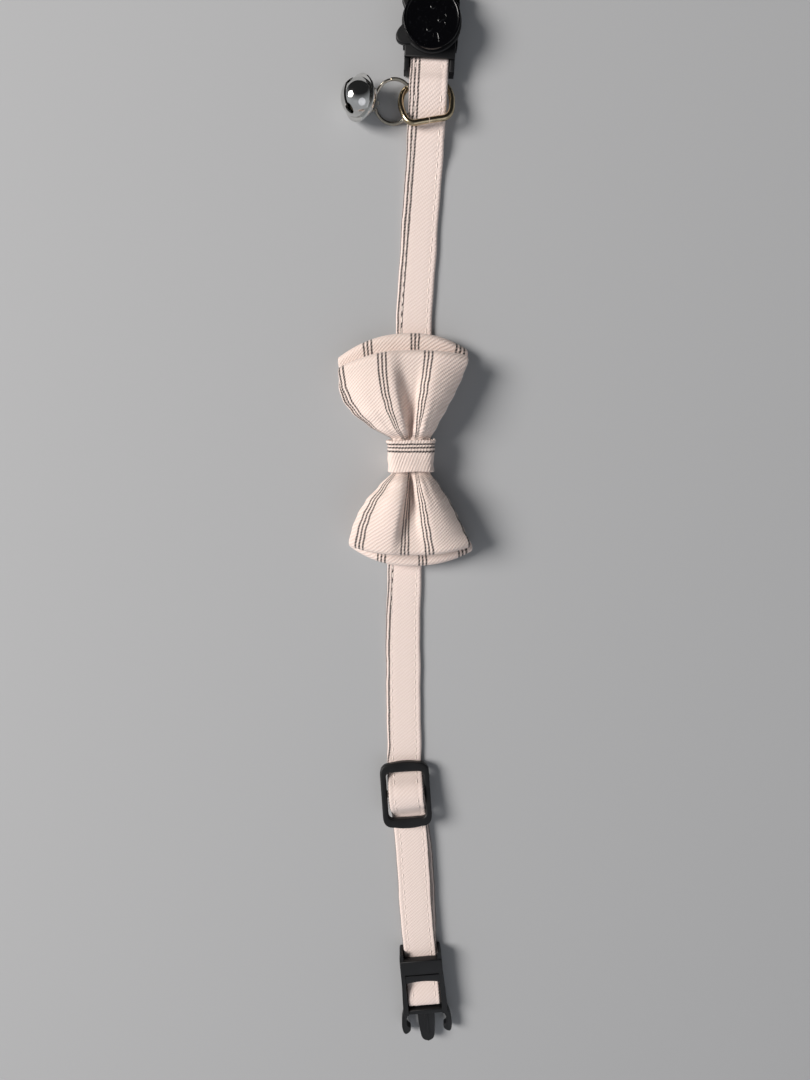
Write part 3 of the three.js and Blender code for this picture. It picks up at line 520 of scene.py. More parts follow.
thread_cotton = cotton_thread()


def moulded(name, colour, rough, grain, relief):
    """Injection moulded black ABS: even, with the fine grain that the mould leaves."""
    material, tree, shader = new_material(name)
    place = add_node(tree, "ShaderNodeTexCoord")
    spark = add_node(
        tree, NOISE, {"Scale": 1 / (grain * MM), "Detail": 3.0}, {"Vector": place.outputs["Object"]})
    handled = add_node(
        tree, NOISE, {"Scale": 1 / (5 * MM), "Detail": 5.0}, {"Vector": place.outputs["Object"]})
    gloss = add_node(
        tree, RANGE,
        {"From Min": 0.3, "From Max": 0.7, "To Min": rough - 0.06, "To Max": rough + 0.1},
        {"Value": handled})
    dust = add_node(
        tree, RANGE, {"From Min": 0.6, "From Max": 0.78, "To Max": 0.18}, {"Value": spark})
    tint = add_node(
        tree, MIX, {"data_type": "RGBA", 6: to_linear(colour), 7: to_linear("#3a3b3e")}, {0: dust})
    bump = add_node(tree, BUMP, {"Strength": relief, "Distance": 0.03 * MM}, {"Height": spark})
    tree.links.new(tint.outputs[2], shader.inputs["Base Color"])
    tree.links.new(gloss.outputs[0], shader.inputs["Roughness"])
    tree.links.new(bump.outputs[0], shader.inputs["Normal"])
    shader.inputs["Specular IOR Level"].default_value = 0.35
    return material


satin_black = moulded("satin_moulded_abs", "#0c0d0f", 0.45, 0.35, 0.3)
gloss_black = moulded("glossy_moulded_abs", "#050507", 0.14, 0.6, 0.05)


def plated(name, colour, dull, rough):
    """Plated steel: mirror bright, with faint handling marks."""
    material, tree, shader = new_material(name)
    place = add_node(tree, "ShaderNodeTexCoord")
    marks = add_node(
        tree, NOISE, {"Scale": 1 / (1.5 * MM), "Detail": 5.0}, {"Vector": place.outputs["Object"]})
    tint = add_node(
        tree, MIX, {"data_type": "RGBA", 6: to_linear(colour), 7: to_linear(dull)}, {0: marks})
    gloss = add_node(
        tree, RANGE, {"From Min": 0.35, "From Max": 0.75, "To Min": rough, "To Max": rough + 0.12},
        {"Value": marks})
    tree.links.new(tint.outputs[2], shader.inputs["Base Color"])
    tree.links.new(gloss.outputs[0], shader.inputs["Roughness"])
    shader.inputs["Metallic"].default_value = 1.0
    return material


pale_gold = plated("pale_gold_plated_wire", "#d3c5a8", "#8e7d60", 0.14)
# A whiter plating for the bell's loop: painted light, so that the loop shows bright though it lies in the
# bell's shadow.
nickel_painted_lit = plated("nickel_wire_painted_lit", "#f6f4f0", "#dedbd4", 0.36)
dark_nickel = plated("nickel_plated_wire", "#c4beb2", "#857d70", 0.16)
chrome = plated("chrome_plated_shell", "#e6e6e4", "#bdbcb9", 0.04)

# Strap

# One half of the strap's section, from the middle of the front to the middle of the back:
# across, and out from the middle layer
SECTION = [
    (0, 0.65), (1.6, 0.65), (2.8, 0.64), (3.15, 0.61), (3.45, 0.57),
    (3.75, 0.61), (4.1, 0.65), (4.55, 0.62), (4.87, 0.44), (5, 0.14),
    (5, -0.14), (4.87, -0.44), (4.55, -0.62), (4.1, -0.65), (3.75, -0.61),
    (3.45, -0.57), (3.15, -0.61), (2.8, -0.64), (1.6, -0.65), (0, -0.65),
]
SEAM_ASIDE = 3.45
STITCH_PITCH = 2.7
STITCH_LONG = 2
THREAD = 0.32
# The seams aren't drawn where the strap turns more than this, in radians, within a stitch.
SHARP_BEND = 0.35
# Stitches stand proud in front and are pressed flat at the back.
STITCH_SINK = {1: 0.06, -1: 0.15}
# Where the dark lines run, from the strap's middle, by the place along it
STRIPE_DRIFT = [
    (prong_bar, -6.08), (slider_at - 8, -6.08), (slider_at + 8, -5.8), (slider_at + 14, -5.2), (-57, -4.9),
    (-34, -4.4), (36, -4.3), (75, -3.75), (socket_bar, -3.4),
]


def strap_path():
    """Stations along the strap: middle, across, front, length so far, place along and direction."""
    points = smooth_path(strap_route(), 0.55)
    points = [Vector((p.x, p.y, max(p.z, on_floor))) for p in points]
    stations = []
    long = 0
    for i, point in enumerate(points):
        before, after = points[max(i - 1, 0)], points[min(i + 1, len(points) - 1)]
        if i:
            long += (point - points[i - 1]).length
        tangent = (after - before).normalized()
        aside, lean = course_at(point.y)
        across = Vector((1, -lean, 0)).normalized()
        ahead = (Vector((lean, 1, 0)).normalized() * tangent.y + Vector((0, 0, tangent.z))).normalized()
        front = -across.cross(ahead)
        middle = Vector((aside + point.x, point.y, point.z)) + knot_middle
        stations.append((middle, across, front, long, point.y, ahead))
    return stations


strap_stations = strap_path()


def widened(along):
    """The cloth is sewn a little wider on the adjustable side and flattens over the slider's bar."""
    share = min(max((-40 - along) / 20, 0), 1)
    return 1 + 0.04 * share + 0.05 * math.exp(-((along - slider_at) / 7) ** 4)


def make_strap():
    """The strap in one length, with puckered seams along both edges."""
    ring = SECTION + [(-a, b) for a, b in reversed(SECTION)][1:]
    rounds = [0]
    for (a, b), (c, d) in zip(ring, ring[1:]):
        rounds.append(rounds[-1] + math.hypot(c - a, d - b))
    full = rounds[-1]

    def shape(u, v):
        i, k = round(u * (len(ring) - 1)), round(v * (len(strap_stations) - 1))
        (a, b), (middle, across, front, long, along, _) = ring[i], strap_stations[k]
        around = rounds[i] if rounds[i] <= full / 2 else rounds[i] - full
        # The seams pucker the cloth a little from stitch to stitch.
        pucker = 1 + 0.05 * math.sin(2 * math.pi * long / STITCH_PITCH) * (abs(abs(a) - SEAM_ASIDE) < 0.8)
        wave = 0.06 * math.sin(long / 3.7) + 0.05 * math.sin(long / 1.9 + 1)
        wide = a * widened(along) + wave * (abs(a) > 4)
        point = middle + across * wide + front * b * pucker
        return point, (around - along_table(STRIPE_DRIFT, along)[0], -long), (around, -long)

    bm = cloth_grid(len(ring) - 1, len(strap_stations) - 1, shape)
    bmesh.ops.holes_fill(bm, edges=[e for e in bm.edges if e.is_boundary], sides=0)
    strap = finished("cotton_strap", outward(bm), strap_twill, 60)
    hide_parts("strap")
    return strap


def make_stitches():
    """Topstitching along both edges of the strap, on its front and its back."""
    seams = bmesh.new()
    wanted = STITCH_LONG
    for k, (middle, across, front, long, _, ahead) in enumerate(strap_stations[:-4]):
        if long < wanted:
            continue
        wanted += STITCH_PITCH
        if max(ahead.angle(strap_stations[j][5]) for j in (k + 4, k - 3)) > SHARP_BEND:
            continue
        for side in (-1, 1):
            for face in (-1, 1):
                out = STRAP_THICK / 2 - STITCH_SINK[face]
                spot = middle + across * side * SEAM_ASIDE + front * face * out
                turn = Matrix((across, ahead, front)).transposed().to_4x4()
                size = Matrix.Diagonal((THREAD / 2, STITCH_LONG / 2, THREAD / 2, 1))
                place = Matrix.Translation(spot) @ turn @ size
                bmesh.ops.create_uvsphere(seams, u_segments=6, v_segments=4, radius=1, matrix=place)
    return finished("strap_topstitching", seams, thread_cotton, 180)


make_strap()
make_stitches()

# Bow: each loop's reach to the sides and ends, and where its stripes lie at the ends
FRONT = {
    "up": {"left": 19.8, "right": 15.5, "left_end": 24, "crown": 28.7, "right_end": 27.4},
    "down": {"left": 17.4, "right": 16.6, "left_end": 25.5, "crown": 27.9, "right_end": 25.8},
    "stripes": {"up": [-19.1, -7.65, 4.9], "down": [-14.2, -1.6, 5.4]},
    "puff": 4.4, "cleft": 4.1, "cleft_lean": {"up": 0.07, "down": 0.04}, "step_out": 1.3,
}
BACK = {
    "up": {"left": 20.2, "right": 15.7, "left_end": 27, "crown": 33.6, "right_end": 29},
    "down": {"left": 17.4, "right": 17.7, "left_end": 26.6, "crown": 32, "right_end": 27.8},
    "stripes": {"up": [-11.7, 1.3, 13.6], "down": [-8.2, 3.6, 14.9]},
    "puff": 2.1, "cleft": 0.6, "cleft_lean": {"up": 0, "down": 0}, "step_out": 0,
}
BACK_SINK = 0.9
NEST = 0.5
back_under = knot_floor + STRAP_THICK / 2 + GAP + CLOTH / 2
back_over = back_under + CLOTH + PANEL_GAP
BACK["under"] = back_under
BACK["rise"] = -BACK_SINK
FRONT["under"] = back_over + CLOTH + GAP
FRONT["rise"] = BACK["puff"] - BACK_SINK + NEST
front_over = FRONT["under"] + CLOTH + PANEL_GAP
SHOWN_CLOTH = 0.85

# Shares of the spread from the waist to the end corner: up left, up right, down left, down right
SPREAD = [
    (0, 0, 0, 0, 0), (0.2, 0.4, 0.21, 0.31, 0.25), (0.4, 0.68, 0.44, 0.6, 0.48),
    (0.6, 0.86, 0.66, 0.79, 0.66), (0.8, 0.96, 0.85, 0.92, 0.83), (1, 1, 1, 1, 1),
]
# Shares of the puff, the cleft's depth, the pleat's rise, the sides' droop and the sinking
SWELL = [
    (0, 0, 0.2, 1, 0, 0), (0.12, 0.7, 1, 0.8, 0.2, 0.4), (0.35, 1, 1, 0.35, 0.6, 0.9),
    (0.65, 0.92, 0.72, 0, 0.9, 1), (1, 0.45, 0.2, 0, 1, 0.9),
]
# Gathers that fan out from the knot: how many across, where they start, height and reach along
GATHERS = [(2.4, 0.3, 0.34, 0.32), (4.1, 1.7, 0.22, 0.22), (1.15, 2.2, 0.3, 0.7)]


def panel_point(loop, side, share, u):
    """Place of the loop's cloth seen from above, by shares from the waist to the end and across."""
    half = loop[side]
    spread = along_table(SPREAD, share)
    column = (0 if side == "up" else 2) + (0 if u < 0 else 1)
    reach = half["left"] if u < 0 else half["right"]
    end = half["left_end"] if u < 0 else half["right_end"]
    width = WAIST_WIDTH / 2 + (reach - WAIST_WIDTH / 2) * spread[column]
    far = half["crown"] - (half["crown"] - end) * abs(u) ** 2.2 - FOLD_RISE / 2 - CLOTH / 2
    along = KNOT_LENGTH / 2 + 0.4 + (far - KNOT_LENGTH / 2 - 0.4) * share
    return width * u, along if side == "up" else -along


def under_level(loop, share, u):
    """Level of the loop's lower layer."""
    _, _, pleat, droop, sink = along_table(SWELL, share)
    rise = PLEAT_RISE * pleat * math.sin(math.pi * u) ** 2
    return loop["under"] + loop["rise"] * sink + rise - SIDE_DROOP * droop * abs(u) ** 3


def over_level(loop, side, share, u):
    """Level of the loop's upper layer, which puffs up on both sides of its cleft."""
    puff, cleft, _, _, _ = along_table(SWELL, share)
    least = CLOTH + PANEL_GAP
    # The lower right lobe stays flat until near its edge.
    fall = 5 if side == "down" and u > 0 else 3
    swell = puff * loop["puff"] * (1 - 0.8 * abs(u) ** fall)
    lean = loop["cleft_lean"][side] * share
    # The left lobe rolls over into the cleft and the right one slopes into it.
    across = (u - lean) / (0.11 + 0.19 * share)
    valley = cleft * loop["cleft"] * math.exp(-(abs(across) ** (5.5 if across < 0 else 2.8)))
    end = (FOLD_RISE - least) * share**3
    turn = 0 if side == "up" else 1.3
    ripple = sum(
        high * math.sin(2 * math.pi * many * u + start + turn) * math.exp(-share / reach)
        for many, start, high, reach in GATHERS)
    return under_level(loop, share, u) + least + max(swell + end - valley + ripple * puff, 0)


def loop_rows(loop):
    """Rows of the flattened loop, each a function of the place across."""
    steps = 34
    turn = 8

    def over(side, share):
        def row(u):
            x, y = panel_point(loop, side, share, u)
            return Vector((x, y, over_level(loop, side, share, u)))
        return side, row

    def under(side, share):
        def row(u):
            x, y = panel_point(loop, side, share, u)
            # The lower layer peeps out beside the upper one at the top left.
            peep = loop["step_out"] * max(-u, 0) ** 2 * math.sin(math.pi * min(share / 0.95, 1)) ** 0.7
            return Vector((x - (peep if side == "up" else 0), y, under_level(loop, share, u)))
        return side, row

    def fold(side, share):
        def row(u):
            x, y = panel_point(loop, side, 1, u)
            low, high = under_level(loop, 1, u), over_level(loop, side, 1, u)
            out = FOLD_RISE / 2 * math.sin(math.pi * share)
            z = (low + high) / 2 + (high - low) / 2 * math.cos(math.pi * share)
            return Vector((x, y + (out if side == "up" else -out), z))
        return side, row

    outwards = [i / steps for i in range(steps + 1)]
    turns = [i / turn for i in range(1, turn)]
    rows = [over("up", s) for s in outwards]
    rows += [fold("up", s) for s in turns]
    rows += [under("up", s) for s in reversed(outwards)]
    rows += [under("down", s) for s in outwards]
    rows += [fold("down", s) for s in reversed(turns)]
    rows += [over("down", s) for s in reversed(outwards)]
    return rows + rows[:1]


def stripe_phase(stripes, x):
    """Place on the cloth counted so that each stripe falls on a whole pitch."""
    marks = []
    for k, stripe in enumerate(stripes):
        marks += [(stripe - 2, STRIPE_PITCH * k - 2), (stripe + 2, STRIPE_PITCH * k + 2)]
    if x <= marks[0][0]:
        return x - marks[0][0] + marks[0][1]
    for (a, p), (b, q) in zip(marks, marks[1:]):
        if x <= b:
            return p + (q - p) * (x - a) / (b - a)
    return x - marks[-1][0] + marks[-1][1]


def thicken(piece):
    """Gives a sheet of cloth its wall and soft edges."""
    wall = piece.modifiers.new("cloth wall", "SOLIDIFY")
    wall.thickness = SHOWN_CLOTH * MM
    wall.offset = 0
    smooth = piece.modifiers.new("soft edges", "SUBSURF")
    smooth.levels = smooth.render_levels = 1


def make_loop(name, node, loop):
    """One flattened loop of the bow."""
    rows = loop_rows(loop)
    middles = [row(0.3) for _, row in rows]
    longs = [0]
    for a, b in zip(middles, middles[1:]):
        longs.append(longs[-1] + (b - a).length)

    def shape(s, v):
        u, k = 2 * s - 1, round(v * (len(rows) - 1))
        side, row = rows[k]
        point = row(u)
        reach = loop[side]["left"] if u < 0 else loop[side]["right"]
        phase = stripe_phase(loop["stripes"][side], u * reach)
        return point + knot_middle, (phase, longs[k]), (point.x, longs[k])

    sheet = outward(cloth_grid(60, len(rows) - 1, shape))
    bow = finished(name, sheet, bow_twill, 180)
    thicken(bow)
    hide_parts(node)
    return bow


def make_knot():
    """The band round the bow's waist and the strap."""
    inside = WAIST_WIDTH / 2 + GAP
    top = front_over + PLEAT_RISE + CLOTH / 2 + GAP + CLOTH / 2
    bottom = CLOTH / 2
    side = inside + CLOTH / 2
    corner, foot, crown = 1.6, 0.7, 0.35
    right = [
        (0.4 * side, top + 0.6 * crown), (side - corner, top), (side - 0.3 * corner, top - 0.3 * corner),
        (side, top - corner), (side, (top + bottom) / 2), (side, bottom + foot),
        (side - 0.3 * foot, bottom + 0.2 * foot), (side - foot, bottom),
    ]
    left = [(-x, z) for x, z in reversed(right)]
    around = [(0, top + crown)] + right + [(0, bottom)] + left
    path = smooth_path([Vector((x, 0, z)) for x, z in around], 0.4, closed=True)
    path.append(path[0])
    longs = [0]
    for a, b in zip(path, path[1:]):
        longs.append(longs[-1] + (b - a).length)

    def shape(s, v):
        k = round(v * (len(path) - 1))
        before, after = path[k - 1 if k else -2], path[k + 1 if k + 1 < len(path) else 1]
        normal = Vector((-(after.z - before.z), 0, after.x - before.x)).normalized()
        lifted = min(max((path[k].z - bottom - foot) / 3, 0), 1)
        edge = abs(2 * s - 1)
        # The top edge spreads where the cloth is free, and soft creases run across the band.
        flare = 0.3 * edge**5 + 0.09 * math.sin(9 * s + 0.35 * path[k].x) + 0.05 * math.sin(21 * s)
        y = (s - 0.5) * KNOT_LENGTH + 0.18 * math.sin(0.5 * path[k].x + 0.6) * edge**2
        wide = 1 + 0.035 * lifted * (2 * s - 1)
        point = Vector((path[k].x * wide, y, path[k].z)) + normal * flare * lifted
        return point + knot_middle, (y - 2.5, longs[k]), (1.5 * longs[k], 0.5 * y)

    sheet = outward(cloth_grid(26, len(path) - 1, shape))
    knot = finished("bow_knot_band", sheet, bow_twill, 180)
    thicken(knot)
    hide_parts("bow_knot")
    return knot


def make_fray():
    """Loose yarns at the knot's upper right corner."""
    corner = knot_middle + Vector((WAIST_WIDTH / 2 + 0.9, KNOT_LENGTH / 2 - 0.1, front_over + 0.6))
    yarns = []
    for k in range(6):
        lean = Vector((0.35 + 0.12 * k, 0.55 - 0.16 * k, 0.25 - 0.1 * (k % 3)))
        bend = Vector((0.1 * (k % 2), 0.12, -0.08 * k))
        points = [corner + lean * t + bend * t * t for t in (-0.6, 0, 0.5, 0.9)]
        yarns.append(wire(smooth_path(points, 0.2), 0.07, sides=6))
    return finished("knot_frayed_yarns", joined(yarns), thread_cotton, 180)


make_loop("bow_back_loop", "bow_back", BACK)
make_loop("bow_front_loop", "bow_front", FRONT)
make_knot()
make_fray()

# D-ring, split ring and bell
D_WIDTH = 15
D_HEIGHT = 12.4
D_TURN_DEG = 9
D_ASIDE = 0.65
D_BAR_LIFT = 2.8
# Half of the D from the middle of its bar to the top of its arc, as shares of half width and height
D_OUTLINE = [(0.33, 0), (0.66, 0.005), (0.86, 0.1), (0.98, 0.33), (1, 0.55), (0.85, 0.8), (0.48, 0.96)]
BUTT_GAP = 0.12


def make_d_ring():
    """One bent wire whose two ends meet in the middle of the bar."""
    half, height = (D_WIDTH - D_WIRE) / 2, D_HEIGHT - D_WIRE
    right = [(a * half, b * height) for a, b in D_OUTLINE]
    left = [(-a, b) for a, b in reversed(right)]
    corners = [(BUTT_GAP / 2, 0)] + right + [(0, height)] + left + [(-BUTT_GAP / 2, 0)]
    path = smooth_path([Vector((x, y, 0)) for x, y in corners], 0.4)
    bm = wire(path, D_WIRE / 2, sides=20)
    level = STRAP_THICK + GAP + D_WIRE / 2 + D_BAR_LIFT
    aside, _ = course_at(d_bar)
    spot = knot_middle + Vector((aside + D_ASIDE, d_bar, level))
    turn = Matrix.Rotation(math.radians(D_TURN_DEG), 4, "Z")
    tilt = Matrix.Rotation(math.atan(-D_BAR_LIFT / height), 4, "X")
    place = Matrix.Translation(spot) @ turn @ tilt
    ring = finished("d_ring_wire", moved(bm, place), pale_gold)
    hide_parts("d_ring")


ring_middle = knot_middle + Vector((
    RING_ASIDE, d_bar + RING_ABOVE_D_BAR, RING_LEFT_REST + RING_RADIUS * RING_RISE_TO_RIGHT))
COIL_WIRE = 0.74
COIL_PRESS = 0.55


def make_split_ring():
    """Two turns of flattened wire, one on the other."""
    steps = 72
    path = []
    for i in range(2 * steps - 4):
        angle = 2 * math.pi * (i / steps + 0.34)
        share = (i / steps) % 1
        # Each turn lies flat and steps over to the next only near the split.
        step = min(max((share - 0.9) / 0.1, 0), 1)
        layer = i // steps + step * step * (3 - 2 * step) - 0.5
        level = layer * (COIL_WIRE + 0.03)
        path.append(Vector((RING_RADIUS * math.cos(angle), RING_RADIUS * math.sin(angle), level)))
    slope = Matrix.Identity(4)
    slope[2][0], slope[2][1] = RING_RISE_TO_RIGHT, RING_RISE_TO_BUCKLE
    place = Matrix.Translation(ring_middle) @ slope @ Matrix.Diagonal((1, 1, COIL_PRESS, 1))
    coil = moved(wire(path, COIL_WIRE / 2, sides=12), place)
    ring = finished("split_ring_coil", coil, dark_nickel)
    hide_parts("split_ring")


BELL_RADIUS = 4.9
BELL_WALL = 0.6
BELL_FLANGE = 0.9
BELL_SLOT = 0.8
SLOT_END_RADIUS = 1.1
BELL_LOOP_RADIUS = 0.9
BELL_LOOP_WIRE = 0.7
PELLET_RADIUS = 1.3
slot_reach = 0.66 * BELL_RADIUS
bell_rest = BELL_RADIUS + GAP
bell_reach = BELL_RADIUS + RING_WIRE / 2 + 0.2
bell_drop = bell_rest - RING_LEFT_REST
bell_aside = math.sqrt(bell_reach**2 - bell_drop**2)
bell_middle = ring_middle + Vector((-RING_RADIUS - bell_aside, 0, 0))
bell_middle.z = bell_rest


def spun(profile, steps):
    """A solid of revolution round Z from a profile of radius and height."""
    bm = bmesh.new()
    verts = [bm.verts.new((x, 0, z)) for x, z in profile]
    edges = [bm.edges.new(pair) for pair in zip(verts, verts[1:])]
    bmesh.ops.spin(
        bm, geom=verts + edges, cent=(0, 0, 0), axis=(0, 0, 1), angle=2 * math.pi, steps=steps,
        use_merge=True)
    bmesh.ops.remove_doubles(bm, verts=bm.verts, dist=SAME_SPOT / 2)
    return outward(bm)


def cut_away(bm, cutter):
    """The shape that is left when another is cut out of it."""
    holders = []
    for part in (bm, cutter):
        mesh = bpy.data.meshes.new("part")
        part.to_mesh(mesh)
        part.free()
        holders.append(bpy.data.objects.new("part", mesh))
        bpy.context.scene.collection.objects.link(holders[-1])
    boolean = holders[0].modifiers.new("cut", "BOOLEAN")
    boolean.operation = "DIFFERENCE"
    boolean.solver = "EXACT"
    boolean.use_self = True
    boolean.object = holders[1]
    bpy.context.view_layer.update()
    mesh = bpy.data.meshes.new_from_object(holders[0].evaluated_get(bpy.context.evaluated_depsgraph_get()))
    left = bmesh.new()
    left.from_mesh(mesh)
    bpy.data.meshes.remove(mesh)
    for holder in holders:
        used = holder.data
        bpy.data.objects.remove(holder)
        bpy.data.meshes.remove(used)
    return left


def make_bell():
    """A slotted hollow shell with a flange round its middle, its loop and its loose pellet."""
    lip = 0.32
    flange = BELL_RADIUS + BELL_FLANGE
    start = math.asin(lip / BELL_RADIUS)
    quarter = math.pi / 2

    def arc(radius, a, b, steps=22):
        angles = [a + (b - a) * i / steps for i in range(steps + 1)]
        return [(max(radius * math.cos(t), 0), radius * math.sin(t)) for t in angles]

    outer = arc(BELL_RADIUS, -quarter, -start)
    edge = [(flange - 0.25, -lip), (flange, -0.12), (flange, 0.12), (flange - 0.25, lip)]
    skin = spun(outer + edge + arc(BELL_RADIUS, start, quarter), 72)
    hollow = spun(arc(BELL_RADIUS - BELL_WALL, -quarter, quarter), 72)
    bmesh.ops.reverse_faces(hollow, faces=hollow.faces)
    shell = joined([skin, hollow])
    slot_half = BELL_SLOT / 2
    slot_outline = [
        (-slot_half, -slot_reach), (slot_half, -slot_reach), (slot_half, slot_reach),
        (-slot_half, slot_reach),
    ]
    slot = plate(slot_outline, -flange, -0.5 * BELL_RADIUS, 0.02, segments=1)
    for side in (-1, 1):
        spot = (0, side * slot_reach, -flange / 2 - 0.35 * BELL_RADIUS)
        bmesh.ops.create_cone(
            slot, cap_ends=True, segments=28, radius1=SLOT_END_RADIUS, radius2=SLOT_END_RADIUS,
            depth=flange, matrix=Matrix.Translation(spot))
    body = cut_away(shell, slot)
    turns = [2 * math.pi * i / 28 for i in range(28)]
    round_loop = [
        Vector((BELL_LOOP_RADIUS * math.cos(t), 0, bell_reach + BELL_LOOP_RADIUS * math.sin(t)))
        for t in turns
    ]
    loop = wire(round_loop, BELL_LOOP_WIRE / 2, closed=True, sides=14)
    tilt = Matrix.Rotation(math.atan2(bell_aside, -bell_drop), 4, "Y")
    place = Matrix.Translation(bell_middle) @ tilt
    bell = finished("bell_shell_plated", moved(body, place), chrome, 30)
    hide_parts("bell_shell")
    # The loop's plating is painted lighter: painted light in place of the light it catches.
    finished("bell_loop_wire", moved(loop, place), nickel_painted_lit)
    low = BELL_RADIUS - BELL_WALL - PELLET_RADIUS - GAP
    ball = bmesh.new()
    place = Matrix.Translation(bell_middle - Vector((0, 0, low)))
    bmesh.ops.create_uvsphere(ball, u_segments=24, v_segments=16, radius=PELLET_RADIUS, matrix=place)
    pellet = finished("bell_pellet_ball", ball, pale_gold)
    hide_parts("bell_pellet")


make_d_ring()
make_split_ring()
make_bell()

# Slider
SLIDER_WIDTH = 14.9
SLIDER_LENGTH = 20.6
SLIDER_THICK = 2.2
SLIDER_SIDE_BAR = 1.75
SLIDER_END_BAR = 2.75
SLIDER_TILT = 0.11
SLIDER_ASIDE = -0.1
under_cover = on_layer + STRAP_THICK / 2 + GAP


def bowed_frame(half, long, corner, bow, steps=8):
    """Outline of a frame whose two ends bow outward."""
    lines = [
        ((-half, corner - long), (-half, -long), (corner - half, -long)),
        ((corner - half, -long), (0, -long - bow), (half - corner, -long)),
        ((half - corner, -long), (half, -long), (half, corner - long)),
        ((half, long - corner), (half, long), (half - corner, long)),
        ((half - corner, long), (0, long + bow), (corner - half, long)),
        ((corner - half, long), (-half, long), (-half, long - corner)),
    ]
    points = []
    for a, b, c in lines:
        for i in range(steps + 1):
            t = i / steps
            point = tuple(p * (1 - t) ** 2 + 2 * q * t * (1 - t) + r * t * t for p, q, r in zip(a, b, c))
            if not points or math.dist(points[-1], point) > 1e-6:
                points.append(point)
    return points


def make_slider():
    """The bowed frame with a middle bar under the strap."""
    half, long = SLIDER_WIDTH / 2, SLIDER_LENGTH / 2 - 0.4
    inside = long - SLIDER_END_BAR
    hole = bowed_frame(half - SLIDER_SIDE_BAR, inside, 1.6, 0.12)
    outline = bowed_frame(half, long, 3.4, 0.8)
    thick = SLIDER_THICK / 2
    level = under_cover + GAP / 2 - SLIDER_TILT * (inside - 0.35) + thick
    bm = plate(outline, -thick, thick, 0.5, hole, segments=4)
    moved(bm, Matrix.Rotation(-math.atan(SLIDER_TILT), 4, "X"))
    middle = on_floor + around_bar - level
    reach = half - SLIDER_SIDE_BAR / 2
    cross = bar(-reach, reach, -1.2, 0.7, middle - CROSS_BAR / 2, middle + CROSS_BAR / 2, 0.3)
    whole = moved(joined([bm, cross]), on_course(slider_at, level, SLIDER_ASIDE))
    slider = finished("slider_frame", whole, satin_black)
    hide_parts("slider")


make_slider()

# Buckle
RAIL = 1.6
RAIL_HEIGHT = 5
BUCKLE_LIFT = 0.3
PRONG_THICK = 2.4
PRONG_LENGTH = 10.7
CLAW_LENGTH = 7.7
COVER_LENGTH = 8.6
WINDOW_LENGTH = 9.1
WINDOW_FOOT = -3.1
STEP_LENGTH = 3.1
SILL_LENGTH = 1.6
rail_inside = STRAP_WIDTH / 2 + 0.3
rail_outside = rail_inside + RAIL
# A claw's outline: place along from the sill's end or from the tip, how far outside the rail,
# and how far each corner's rounding reaches
CLAW_ROOT_INSIDE = [(0.5, -1.9, 0), (-0.5, -1.9, 0.4), (-1.9, -0.6, 1.2)]
CLAW_TIP = [
    (3.1, -0.45, 0.8), (2, -1.7, 0.6), (1.1, -1.6, 0.4), (0, -0.5, 0.6), (0, 0.6, 0.9), (2.4, 1.2, 1.4),
]
CLAW_ROOT_OUTSIDE = [(-1.6, 0.8, 1.2), (0.5, 0, 0)]


